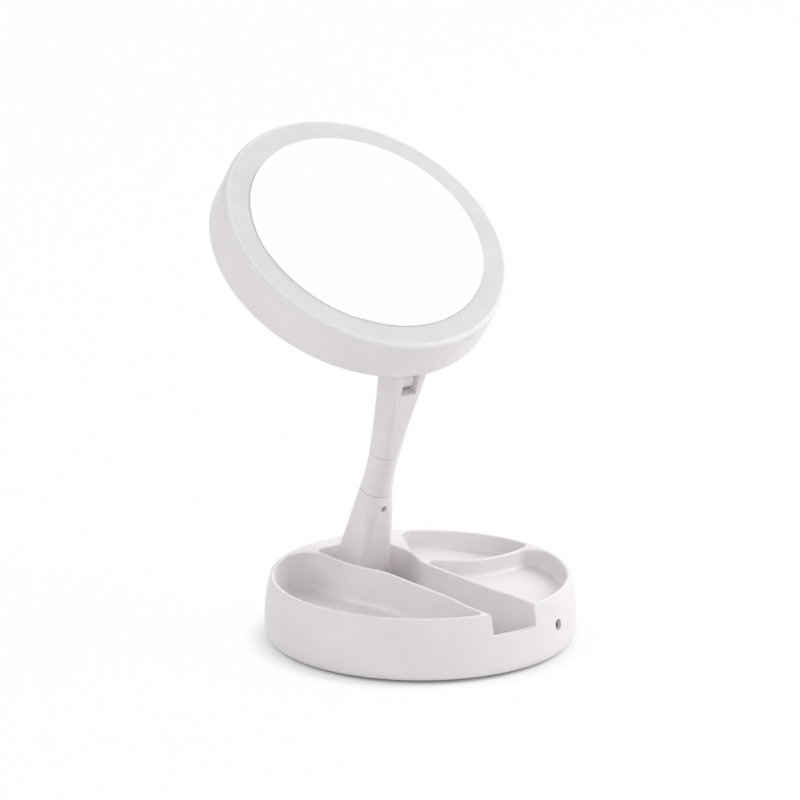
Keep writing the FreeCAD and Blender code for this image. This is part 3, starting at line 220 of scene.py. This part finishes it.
# %% [markdown]
# ## White moulded plastic
# The tray, arm and head are injection-moulded in a polished steel tool. Seen close, such a white has
# a faint waviness where the plastic cooled, a very fine grain and slightly uneven gloss. The colour
# is a warm white that shades towards lilac. The base also picks up light scuffs near the table.

# %% Make the white plastics
SHELL_WHITE = (0.83, 0.80, 0.81)
SHELL_SHADE = (0.80, 0.765, 0.785)
SCUFF_GREY = (0.60, 0.57, 0.57)
FLOW_SCALE = 28.0
GRAIN_SCALE = 2600.0
WAVE_SCALE = 240.0
SCUFF_SCALE = 420.0
SCUFF_HEIGHT = 0.006
SCUFF_SHARE = 0.35
POLISHED_DEPTH = 0.00006
UNPOLISHED_DEPTH = 0.00010


def white_plastic(name, roughness, grain_depth, scuff_height=0.0):
    """White plastic, with scuffs up to a height above the table where one is given."""
    finish = Finish(name)
    flow = finish.noise(FLOW_SCALE, 3.0, 0.55)
    grain = finish.noise(GRAIN_SCALE, 2.0, 0.6)
    wave = finish.noise(WAVE_SCALE, 1.0, 0.4)
    colour = finish.blend(flow.ramp(0.35, 0.7), SHELL_WHITE, SHELL_SHADE)
    gloss = roughness + 0.06 * flow + 0.05 * grain
    if scuff_height:
        low = 1.0 - finish.axis("Z").ramp(0.0, scuff_height)
        rub = finish.noise(SCUFF_SCALE, 6.0, 0.7).ramp(0.52, 0.68) * low
        colour = finish.blend(rub * SCUFF_SHARE, colour, SCUFF_GREY)
        gloss = gloss + 0.25 * rub
    normal = finish.bump(wave * 0.6 + grain * 0.4, grain_depth, 0.35)
    return finish.put(Base_Color=colour, Roughness=gloss, Normal=normal, Specular_IOR_Level=0.45)


shell_plastic = white_plastic("shell plastic", 0.30, POLISHED_DEPTH)
tray_plastic = white_plastic("tray plastic", 0.32, POLISHED_DEPTH, SCUFF_HEIGHT)
inner_plastic = white_plastic("inner plastic", 0.52, UNPOLISHED_DEPTH)
dress(tray_plastic, "base_tray")
dress(shell_plastic, "lower_arm_front", "lower_arm_rear", "swivel_collar",
      "upper_arm_front", "upper_arm_rear", "head_rear_shell", "power_button")
dress(inner_plastic, "base_cover", "battery_door", "mirror_carrier")

# %% [markdown]
# ## Frosted light ring
# The ring round the glass is a milky diffuser. Unlit it is a cool lilac white that lets some light
# into its surface, and the diodes behind it show only as faint paler spots. Its outer round-over is
# painted paler, close to the shell's white: partly the shell-like side, partly a painted highlight
# where the round edge catches the light. The pattern is worked out in the head's own frame, which
# starts at the hinge and leans back with the head.

# %% Make the ring's finish
HINGE = (0.0, 0.017753, 0.146624)
HEAD_TILT = math.radians(36.9)
HEAD_MIDDLE = 0.0715
DIODES = 30
DIODE_CIRCLE = 0.0782
RING_ROUND_START = 0.0812
RING_ROUND_END = 0.0830
RING_MILK = (0.715, 0.708, 0.73)
RING_SHADE = (0.69, 0.682, 0.706)
RING_SPOT = (0.80, 0.79, 0.81)
# the outer round-over's colour, near the shell's white: partly a painted highlight
RING_EDGE_HIGHLIGHT = (0.83, 0.81, 0.825)
RING_SCATTER = (0.004, 0.004, 0.0042)
SPOT_REACH = 0.006
SPOT_SHARE = 0.14
MILK_SCALE = 60.0
FROST_SCALE = 1500.0
FROST_DEPTH = 0.00003


def head_plan(finish):
    """Two coordinates on the face of the head, counted from its middle."""
    place = finish.turned_to(HINGE, HEAD_TILT)
    return finish.axis("X", place), finish.axis("Y", place) - HEAD_MIDDLE


def frosted_ring():
    """Milky plastic, a faint pale spot in front of each diode and a painted highlight at the outer edge.
    """
    finish = Finish("frosted ring")
    across, along = head_plan(finish)
    radius = across.distance(along)
    turn = across.maths("ARCTAN2", along, across) * (DIODES / (2.0 * math.pi))
    round_off = turn.maths("PINGPONG", turn, 0.5) * 2.0
    off_circle = radius.maths("ABSOLUTE", radius - DIODE_CIRCLE)
    spot = (1.0 - round_off).ramp(0.2, 1.0) * (1.0 - off_circle.ramp(0.0, SPOT_REACH))
    milk = finish.noise(MILK_SCALE, 2.0, 0.5)
    frost = finish.noise(FROST_SCALE, 1.0, 0.5)
    colour = finish.blend(milk.ramp(0.3, 0.7), RING_MILK, RING_SHADE)
    colour = finish.blend(spot * SPOT_SHARE, colour, RING_SPOT)
    # painted highlight: the outer round-over is blended towards a shell-like white
    edge_highlight = radius.ramp(RING_ROUND_START, RING_ROUND_END)
    colour = finish.blend(edge_highlight, colour, RING_EDGE_HIGHLIGHT)
    normal = finish.bump(frost, FROST_DEPTH, 0.10)
    return finish.put(
        Base_Color=colour, Roughness=0.50 + 0.12 * frost, Normal=normal,
        Subsurface_Weight=0.25, Subsurface_Radius=RING_SCATTER, Specular_IOR_Level=0.4)


dress(frosted_ring(), "diffuser_ring")

# %% [markdown]
# ## Mirror glass
# A mirror is glass with a silvered back. For a thin flat pane a metallic surface with almost no
# roughness looks the same. The silver stops a hair short of the ground edge, where the bare glass is
# a pale grey, and a breath of haze keeps the reflection from being perfect.

# %% Make the mirrors' finish
PLAIN_SILVER_RADIUS = 0.0696
MAGNIFIER_SILVER_RADIUS = 0.0655
SILVER_FADE = 0.0002
SILVER = (0.99, 0.99, 0.992)
BARE_GLASS = (0.88, 0.89, 0.895)
HAZE_SCALE = 34.0


def silvered(name, silver_radius):
    """Silver out to a radius, and bare glass beyond it."""
    finish = Finish(name)
    across, along = head_plan(finish)
    radius = across.distance(along)
    rim = radius.ramp(silver_radius - SILVER_FADE, silver_radius + SILVER_FADE)
    haze = finish.noise(HAZE_SCALE, 4.0, 0.6)
    colour = finish.blend(rim, SILVER, BARE_GLASS)
    return finish.put(Base_Color=colour, Metallic=1.0 - 0.9 * rim,
                      Roughness=0.012 + 0.03 * haze.ramp(0.5, 0.8) + 0.3 * rim)


dress(silvered("plain mirror", PLAIN_SILVER_RADIUS), "mirror_glass")
dress(silvered("magnifying mirror", MAGNIFIER_SILVER_RADIUS), "magnifying_glass")

# %% [markdown]
# ## Metal, rubber and the parts inside
# Pins and screws are plain steel, slightly uneven in tone and gloss, the strips under the base are soft
# grey rubber with a fine grain, and the cells, contacts and boards inside have the finish of their kind.


# %% Make the metals, the rubber and the plain mouldings
METAL_SCALE = 900.0
METAL_SHADE = 0.82
DUST_SCALE = 300.0
RUBBER_SCALE = 3200.0
MOULDING_SCALE = 500.0


def steel(name, colour, roughness):
    """Bare metal of a colour, with darker flecks."""
    finish = Finish(name)
    fleck = finish.noise(METAL_SCALE, 3.0, 0.6)
    shade = tuple(METAL_SHADE * channel for channel in colour)
    tone = finish.blend(fleck.ramp(0.35, 0.65), colour, shade)
    normal = finish.bump(fleck, 0.00002, 0.3)
    return finish.put(Base_Color=tone, Metallic=1.0, Roughness=roughness + 0.15 * fleck, Normal=normal)


def strip_rubber():
    """Grey rubber, paler where dust has settled."""
    finish = Finish("strip rubber")
    dust = finish.noise(DUST_SCALE, 5.0, 0.65)
    grain = finish.noise(RUBBER_SCALE, 2.0, 0.6)
    colour = finish.blend(dust.ramp(0.45, 0.75), (0.33, 0.33, 0.34), (0.45, 0.44, 0.44))
    normal = finish.bump(grain, 0.0001, 0.5)
    return finish.put(Base_Color=colour, Roughness=0.78 + 0.1 * dust, Normal=normal)


def plain_moulding(name, first, second, roughness):
    """A dull plastic or foam that wanders between two colours."""
    finish = Finish(name)
    mottle = finish.noise(MOULDING_SCALE, 3.0, 0.6)
    colour = finish.blend(mottle.ramp(0.35, 0.7), first, second)
    normal = finish.bump(mottle, 0.00005, 0.3)
    return finish.put(Base_Color=colour, Roughness=roughness + 0.1 * mottle, Normal=normal)


pin_steel = steel("pin steel", (0.60, 0.60, 0.61), 0.25)
screw_steel = steel("screw steel", (0.42, 0.42, 0.43), 0.32)
contact_plating = steel("contact plating", (0.74, 0.73, 0.70), 0.18)
nylon = plain_moulding("washer nylon", (0.70, 0.69, 0.65), (0.63, 0.62, 0.58), 0.45)
socket_black = plain_moulding("socket black", (0.018, 0.018, 0.02), (0.03, 0.03, 0.032), 0.42)
foam = plain_moulding("adhesive foam", (0.06, 0.06, 0.065), (0.10, 0.10, 0.105), 0.9)
dress(pin_steel, "pivot_pin", "hinge_pin", "swivel_spindle", "swivel_nut")
dress(screw_steel, "base_screws", "head_screws", "lower_arm_screw", "upper_arm_screws")
dress(contact_plating, "battery_contacts")
dress(strip_rubber(), "non_slip_strips")
dress(nylon, "pivot_washers", "hinge_washers", "swivel_washer")
dress(socket_black, "dc_jack", "power_switch")
dress(foam, "glass_pad")

# %% Make the cells, the boards and the diodes
CELL_PITCH = 0.0505
CELL_ROW_SHIFT = 0.0009
CELL_SCALE = 700.0
BOARD_SCALE = 1800.0
DIODE_SCALE = 2400.0
BLACK, WHITE = (0.0, 0.0, 0.0, 1.0), (1.0, 1.0, 1.0, 1.0)


def cell_wrap():
    """A plain grey sleeve, rubbed by the bay, with bare steel at both ends of each row of cells."""
    finish = Finish("cell wrap")
    y = finish.axis("Y")
    along = y.maths("PINGPONG", y + CELL_ROW_SHIFT, CELL_PITCH) / CELL_PITCH
    tip = along.ramp(0.97, 0.98)
    scratch = finish.noise(CELL_SCALE, 4.0, 0.6)
    sleeve = finish.blend(scratch.ramp(0.4, 0.7), (0.20, 0.22, 0.235), (0.27, 0.285, 0.30))
    colour = finish.blend(tip, sleeve, (0.62, 0.62, 0.63))
    return finish.put(Base_Color=colour, Metallic=0.25 + 0.7 * tip, Roughness=0.28 + 0.12 * scratch)


def circuit_board(name, mask, track, pitch):
    """Solder mask over copper tracks, which stand a hair proud of the board."""
    finish = Finish(name)
    tracks = finish.add(
        "ShaderNodeTexBrick", {"offset": 0.5},
        {"Vector": finish.place, "Scale": pitch, "Mortar Size": 0.06,
         "Color1": BLACK, "Color2": BLACK, "Mortar": WHITE}, "Fac")
    grain = finish.noise(BOARD_SCALE, 2.0, 0.5)
    colour = finish.blend(tracks * 0.7, mask, track)
    normal = finish.bump(tracks, 0.00004, 0.5)
    return finish.put(Base_Color=colour, Roughness=0.35 + 0.15 * grain, Normal=normal)


def diode_body():
    """Yellow phosphor under clear resin."""
    finish = Finish("diode body")
    grain = finish.noise(DIODE_SCALE, 2.0, 0.5)
    colour = finish.blend(grain.ramp(0.3, 0.7), (0.86, 0.74, 0.30), (0.80, 0.66, 0.24))
    return finish.put(Base_Color=colour, Roughness=0.30 + 0.1 * grain)


green_board = circuit_board("control board", (0.012, 0.10, 0.045), (0.035, 0.20, 0.09), 220.0)
white_board = circuit_board("light board", (0.78, 0.78, 0.76), (0.70, 0.71, 0.70), 160.0)
dress(cell_wrap(), "batteries")
dress(green_board, "control_board")
dress(white_board, "led_board")
dress(diode_body(), "led_chips")

# %% [markdown]
# ## Screws
# Fifteen small screws hold the mirror together: six under the base, six behind the head and three in
# the arm. CAD keeps them plain. A real one has a slightly domed head with a cross recess and a thread
# that cuts its own way into the plastic. One Geometry Nodes tree makes the screw from its sizes, puts
# a copy on every seat and turns each by its own amount, as a screwdriver leaves them.


# %% A tree of Geometry Nodes with named sizes
class Fitting(Graph):
    """A small part that stands on the points of a mesh, one copy for each."""

    def __init__(self, name, sizes):
        super().__init__(bpy.data.node_groups.new(name, "GeometryNodeTree"))
        face = self.tree.interface
        face.new_socket("Seats", in_out="INPUT", socket_type="NodeSocketGeometry")
        for size in sizes:
            face.new_socket(size, in_out="INPUT", socket_type="NodeSocketFloat")
        face.new_socket("Pieces", in_out="OUTPUT", socket_type="NodeSocketGeometry")
        self.given = self.tree.nodes.new("NodeGroupInput")

    def size(self, name):
        """A size that is given from outside the tree."""
        return Value(self, self.given.outputs[name])

    def vector(self, x, y, z):
        """A place or a turn from three numbers."""
        return self.add("ShaderNodeCombineXYZ", {}, {"X": x, "Y": y, "Z": z})

    def moved(self, shape, place):
        """A shape moved by a place."""
        return self.add("GeometryNodeTransform", {}, {"Geometry": shape, "Translation": place})

    def close(self, shape, material):
        """End the tree: real faces instead of copies, and their finish."""
        real = self.add("GeometryNodeRealizeInstances", {}, {"Geometry": shape})
        coated = self.add("GeometryNodeSetMaterial", {}, {"Geometry": real, "Material": material})
        output = self.tree.nodes.new("NodeGroupOutput")
        self.feed(output.inputs["Pieces"], coated)

    def made(self, name, seats, sizes):
        """Run the tree on some seats and keep the result as a plain mesh."""
        mesh = bpy.data.meshes.new(name + "_seats")
        mesh.from_pydata(seats, [], [])
        piece = bpy.data.objects.new(name, mesh)
        bpy.context.scene.collection.objects.link(piece)
        modifier = piece.modifiers.new("fitting", "NODES")
        modifier.node_group = self.tree
        for item in self.tree.interface.items_tree:
            if item.name in sizes:
                modifier[item.identifier] = sizes[item.name]
        settled = piece.evaluated_get(bpy.context.evaluated_depsgraph_get())
        result = bpy.data.meshes.new_from_object(settled)
        piece.modifiers.remove(modifier)
        piece.data = result
        print(name, "has", len(seats), "copies and", len(result.polygons), "faces")
        return piece


# %% Build the screw
THREAD_PITCH = 0.0009
THREAD_RIDGE = 0.00026
CORE_SHARE = 0.84
TIP_LENGTH = 0.0012
TIP_SHARE = 0.25
RECESS_WIDTH = 0.0007
RECESS_DEPTH = 0.0009
RECESS_SPAN = 1.3
HEAD_DOME = 0.00035
HEAD_SIDES = 32
SHANK_SIDES = 16
SCREW_SEED = 4


def screw_head(maker, radius, height):
    """A slightly domed head with a cross recess, its face at the seat."""
    head = maker.add(
        "GeometryNodeMeshCylinder", {"fill_type": "TRIANGLE_FAN"},
        {"Vertices": HEAD_SIDES, "Side Segments": 2, "Fill Segments": 5,
         "Radius": radius, "Depth": height}, "Mesh")
    head = maker.moved(head, maker.vector(0.0, 0.0, height * 0.5))
    place = maker.add("GeometryNodeInputPosition", {}, {})
    x, y, z = [maker.add("ShaderNodeSeparateXYZ", {}, {"Vector": place}, letter) for letter in "XYZ"]
    out = (x * x + y * y) / (radius * radius)
    face = 1.0 - z.ramp(0.0, height * 0.5)
    dome = maker.vector(0.0, 0.0, HEAD_DOME * out * face)
    head = maker.add("GeometryNodeSetPosition", {}, {"Geometry": head, "Offset": dome})
    span = radius * RECESS_SPAN
    cuts = []
    for wide, deep in ((span, RECESS_WIDTH), (RECESS_WIDTH, span)):
        box = maker.vector(wide, deep, 2.0 * RECESS_DEPTH)
        cuts.append(maker.add("GeometryNodeMeshCube", {}, {"Size": box}, "Mesh"))
    return maker.add(
        "GeometryNodeMeshBoolean", {"operation": "DIFFERENCE"}, {"Mesh 1": head, "Mesh 2": cuts}, "Mesh")


def screw_shank(maker, start, core, length):
    """The core below the head, its tip and the thread wound round it."""
    run = length - start - TIP_LENGTH
    shank = maker.add(
        "GeometryNodeMeshCylinder", {},
        {"Vertices": SHANK_SIDES, "Side Segments": 1, "Radius": core, "Depth": run}, "Mesh")
    shank = maker.moved(shank, maker.vector(0.0, 0.0, start + run * 0.5))
    tip = maker.add(
        "GeometryNodeMeshCone", {},
        {"Vertices": SHANK_SIDES, "Radius Top": core * TIP_SHARE, "Radius Bottom": core,
         "Depth": TIP_LENGTH}, "Mesh")
    tip = maker.moved(tip, maker.vector(0.0, 0.0, length - TIP_LENGTH))
    helix = maker.add(
        "GeometryNodeCurveSpiral", {},
        {"Resolution": SHANK_SIDES, "Rotations": run / THREAD_PITCH,
         "Start Radius": core, "End Radius": core, "Height": run})
    ridge = maker.add(
        "GeometryNodeCurvePrimitiveCircle", {}, {"Resolution": 4, "Radius": THREAD_RIDGE}, "Curve")
    thread = maker.add(
        "GeometryNodeCurveToMesh", {}, {"Curve": helix, "Profile Curve": ridge, "Fill Caps": True})
    thread = maker.moved(thread, maker.vector(0.0, 0.0, start))
    return [shank, tip, thread]


def thread_screw(material):
    """A pan-head screw along +Z on every seat, each turned by its own amount."""
    maker = Fitting("thread screw", ("Head Radius", "Head Height", "Shank Radius", "Length", "Lean"))
    head_height = maker.size("Head Height")
    head = screw_head(maker, maker.size("Head Radius"), head_height)
    core = maker.size("Shank Radius") * CORE_SHARE
    shank = screw_shank(maker, head_height, core, maker.size("Length"))
    screw = maker.add("GeometryNodeJoinGeometry", {}, {"Geometry": [head] + shank})
    lean = maker.vector(maker.size("Lean"), 0.0, 0.0)
    copies = maker.add(
        "GeometryNodeInstanceOnPoints", {},
        {"Points": maker.size("Seats"), "Instance": screw, "Rotation": lean})
    turn = maker.add(
        "FunctionNodeRandomValue", {"data_type": "FLOAT"}, {2: 0.0, 3: math.pi, "Seed": SCREW_SEED}, 1)
    copies = maker.add(
        "GeometryNodeRotateInstances", {},
        {"Instances": copies, "Rotation": maker.vector(0.0, 0.0, turn)})
    maker.close(copies, material)
    return maker


screw_maker = thread_screw(screw_steel)
print("the screw's tree has", len(screw_maker.tree.nodes), "nodes")

# %% [markdown]
# The seats are where CAD has them: on a circle under the base, on a circle behind the head, and in the
# deep holes of the two arm halves. Each set rides on the body that it is screwed into.

# %% Put the screws in their seats
COVER_SCREW_CIRCLE = 0.070
COVER_SCREW_ANGLES = (180.0, 130.0, -130.0, 10.0, 60.6, -57.0)
COVER_FACE = Vector((0.0, 0.0, 0.0012))
COVER_SCREW_LENGTH = 0.0080
HEAD_SCREW_CIRCLE = 0.0714
HEAD_SCREW_COUNT = 6
HEAD_SCREW_LENGTH = 0.0090
HEAD_BACK = 0.0157
ARM_PIVOT = Vector((0.0, 0.0592, 0.0213))
ARM_LEAN = math.radians(18.3)
ARM_SCREW_FACE = 0.0062
ARM_SCREW_LENGTH = 0.0104
LOWER_SCREW_STATION = 0.0504
UPPER_SCREW_STATIONS = (0.1055, 0.1185)
PLAIN_HEAD, ARM_HEAD = 0.0024, 0.0017
SCREW_HEAD_HEIGHT = 0.0014
SHANK_RADIUS = 0.0012
QUARTER_TURN = math.pi / 2.0


def on_circle(radius, degrees):
    """A place on a level circle round the origin."""
    turn = math.radians(degrees)
    return Vector((radius * math.cos(turn), radius * math.sin(turn), 0.0))


def on_head(place):
    """A place in the head's frame, brought to where the head rests."""
    lift = Vector((0.0, HEAD_MIDDLE, HEAD_BACK))
    return Vector(HINGE) + Matrix.Rotation(HEAD_TILT, 3, "X") @ (place + lift)


def on_arm(side, station):
    """A place on the front (-1) or the rear (1) of the arm, at a height along it."""
    return ARM_PIVOT + Matrix.Rotation(ARM_LEAN, 3, "X") @ Vector((0.0, side * ARM_SCREW_FACE, station))


head_angles = [360.0 * count / HEAD_SCREW_COUNT for count in range(HEAD_SCREW_COUNT)]
cover_seats = [on_circle(COVER_SCREW_CIRCLE, angle) + COVER_FACE for angle in COVER_SCREW_ANGLES]
head_seats = [on_head(on_circle(HEAD_SCREW_CIRCLE, angle)) for angle in head_angles]
front_seats = [on_arm(-1, LOWER_SCREW_STATION)]
rear_seats = [on_arm(1, station) for station in UPPER_SCREW_STATIONS]
screw_sets = (
    ("cover_screws", "base", "base_screws", PLAIN_HEAD, COVER_SCREW_LENGTH, 0.0, cover_seats),
    ("head_back_screws", "head", "head_screws", PLAIN_HEAD, HEAD_SCREW_LENGTH, HEAD_TILT, head_seats),
    ("arm_front_screw", "lower_arm", "lower_arm_screw", ARM_HEAD, ARM_SCREW_LENGTH,
     ARM_LEAN - QUARTER_TURN, front_seats),
    ("arm_rear_screws", "upper_arm", "upper_arm_screws", ARM_HEAD, ARM_SCREW_LENGTH,
     ARM_LEAN + QUARTER_TURN, rear_seats),
)
for name, body, node, head_radius, length, lean, seats in screw_sets:
    sizes = {"Head Radius": head_radius, "Head Height": SCREW_HEAD_HEIGHT,
             "Shank Radius": SHANK_RADIUS, "Length": length, "Lean": lean}
    screws = screw_maker.made(name, seats, sizes)
    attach(screws, body)
    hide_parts(node)

# %% [markdown]
# ## Floor, backdrop and light
# The photograph is high-key: a white object on white. The floor is a pale sheet that keeps the soft
# shadow under the base, and the world is white to the camera and to reflections but lights the
# object at a plain level. The largest share of light comes from a soft lamp at the right; weaker
# ones stand behind on both sides and beside the camera.

# %% Pick out the rays that show the background
def seen_rays(graph):
    """1 for what the camera sees, straight or in a mirror or through glass, and 0 for light."""
    shown = 0.0
    for ray in ("Is Camera Ray", "Is Glossy Ray", "Is Transmission Ray"):
        one = graph.add("ShaderNodeLightPath", {}, {}, ray)
        shown = one.maths("MAXIMUM", one, shown)
    return shown


# %% Lay the floor
FLOOR_SIZE = 40.0
FLOOR_LEVEL = -0.0002
SHADOW_EDGE = 0.077
SHADOW_END = 0.102
BACKGROUND_SHARE = 0.97
PAPER_SCALE = 900.0


def floor_paper():
    """Pale paper that shows as plain white, except round the base, where it keeps the shadow."""
    finish = Finish("floor paper")
    fibre = finish.noise(PAPER_SCALE, 3.0, 0.6)
    colour = finish.blend(fibre, (0.93, 0.93, 0.93), (0.95, 0.95, 0.95))
    finish.put(Base_Color=colour, Roughness=0.9, Specular_IOR_Level=0.0)
    clear = finish.axis("X").distance(finish.axis("Y")).ramp(SHADOW_EDGE, SHADOW_END)
    share = BACKGROUND_SHARE * seen_rays(finish) * clear
    paper = Value(finish, finish.shader.outputs[0])
    white = finish.add("ShaderNodeEmission", {}, {"Color": WHITE, "Strength": 1.0})
    total = finish.add("ShaderNodeMixShader", {}, {0: share, 1: paper, 2: white})
    finish.feed(finish.tree.nodes["Material Output"].inputs["Surface"], total)
    return finish.material


half = FLOOR_SIZE / 2.0
corners = ((-half, -half), (half, -half), (half, half), (-half, half))
floor_mesh = bpy.data.meshes.new("floor")
floor_mesh.from_pydata([(x, y, FLOOR_LEVEL) for x, y in corners], [], [(0, 1, 2, 3)])
floor_mesh.materials.append(floor_paper())
floor = bpy.data.objects.new("floor", floor_mesh)
bpy.context.scene.collection.objects.link(floor)
print("floor", FLOOR_SIZE, "m wide, with its shadow kept out to", SHADOW_END, "m from the middle")

# %% Light the scene
WORLD_LEVEL = 0.44
LAMP_SIZE = 1.2
LAMP_AIM = Vector((0.0, 0.0, 0.10))

bpy.context.scene.view_settings.view_transform = "Standard"
world = bpy.data.worlds.new("white room")
bpy.context.scene.world = world
world.use_nodes = True
sky = Graph(world.node_tree)
sky_light = world.node_tree.nodes["Background"]
sky.feed(sky_light.inputs["Color"], WHITE)
sky.feed(sky_light.inputs["Strength"], WORLD_LEVEL + (1.0 - WORLD_LEVEL) * seen_rays(sky))


def soft_lamp(name, place, power, colour):
    """A square lamp that looks at the middle of the object."""
    data = bpy.data.lights.new(name, "AREA")
    data.size = LAMP_SIZE
    data.energy = power
    data.color = colour
    lamp = bpy.data.objects.new(name, data)
    lamp.location = place
    lamp.rotation_euler = (Vector(place) - LAMP_AIM).to_track_quat("Z", "Y").to_euler()
    bpy.context.scene.collection.objects.link(lamp)
    print(name, "gives", power, "W")


soft_lamp("right lamp", (1.6, -0.9, 1.5), 28.0, (1.0, 0.995, 0.99))
soft_lamp("right back lamp", (1.5, 0.9, 1.3), 8.0, (1.0, 1.0, 1.0))
soft_lamp("left back lamp", (-1.6, 0.7, 1.4), 11.0, (1.0, 0.99, 0.995))
soft_lamp("front lamp", (-1.2, -1.9, 0.7), 8.0, (1.0, 0.985, 0.995))
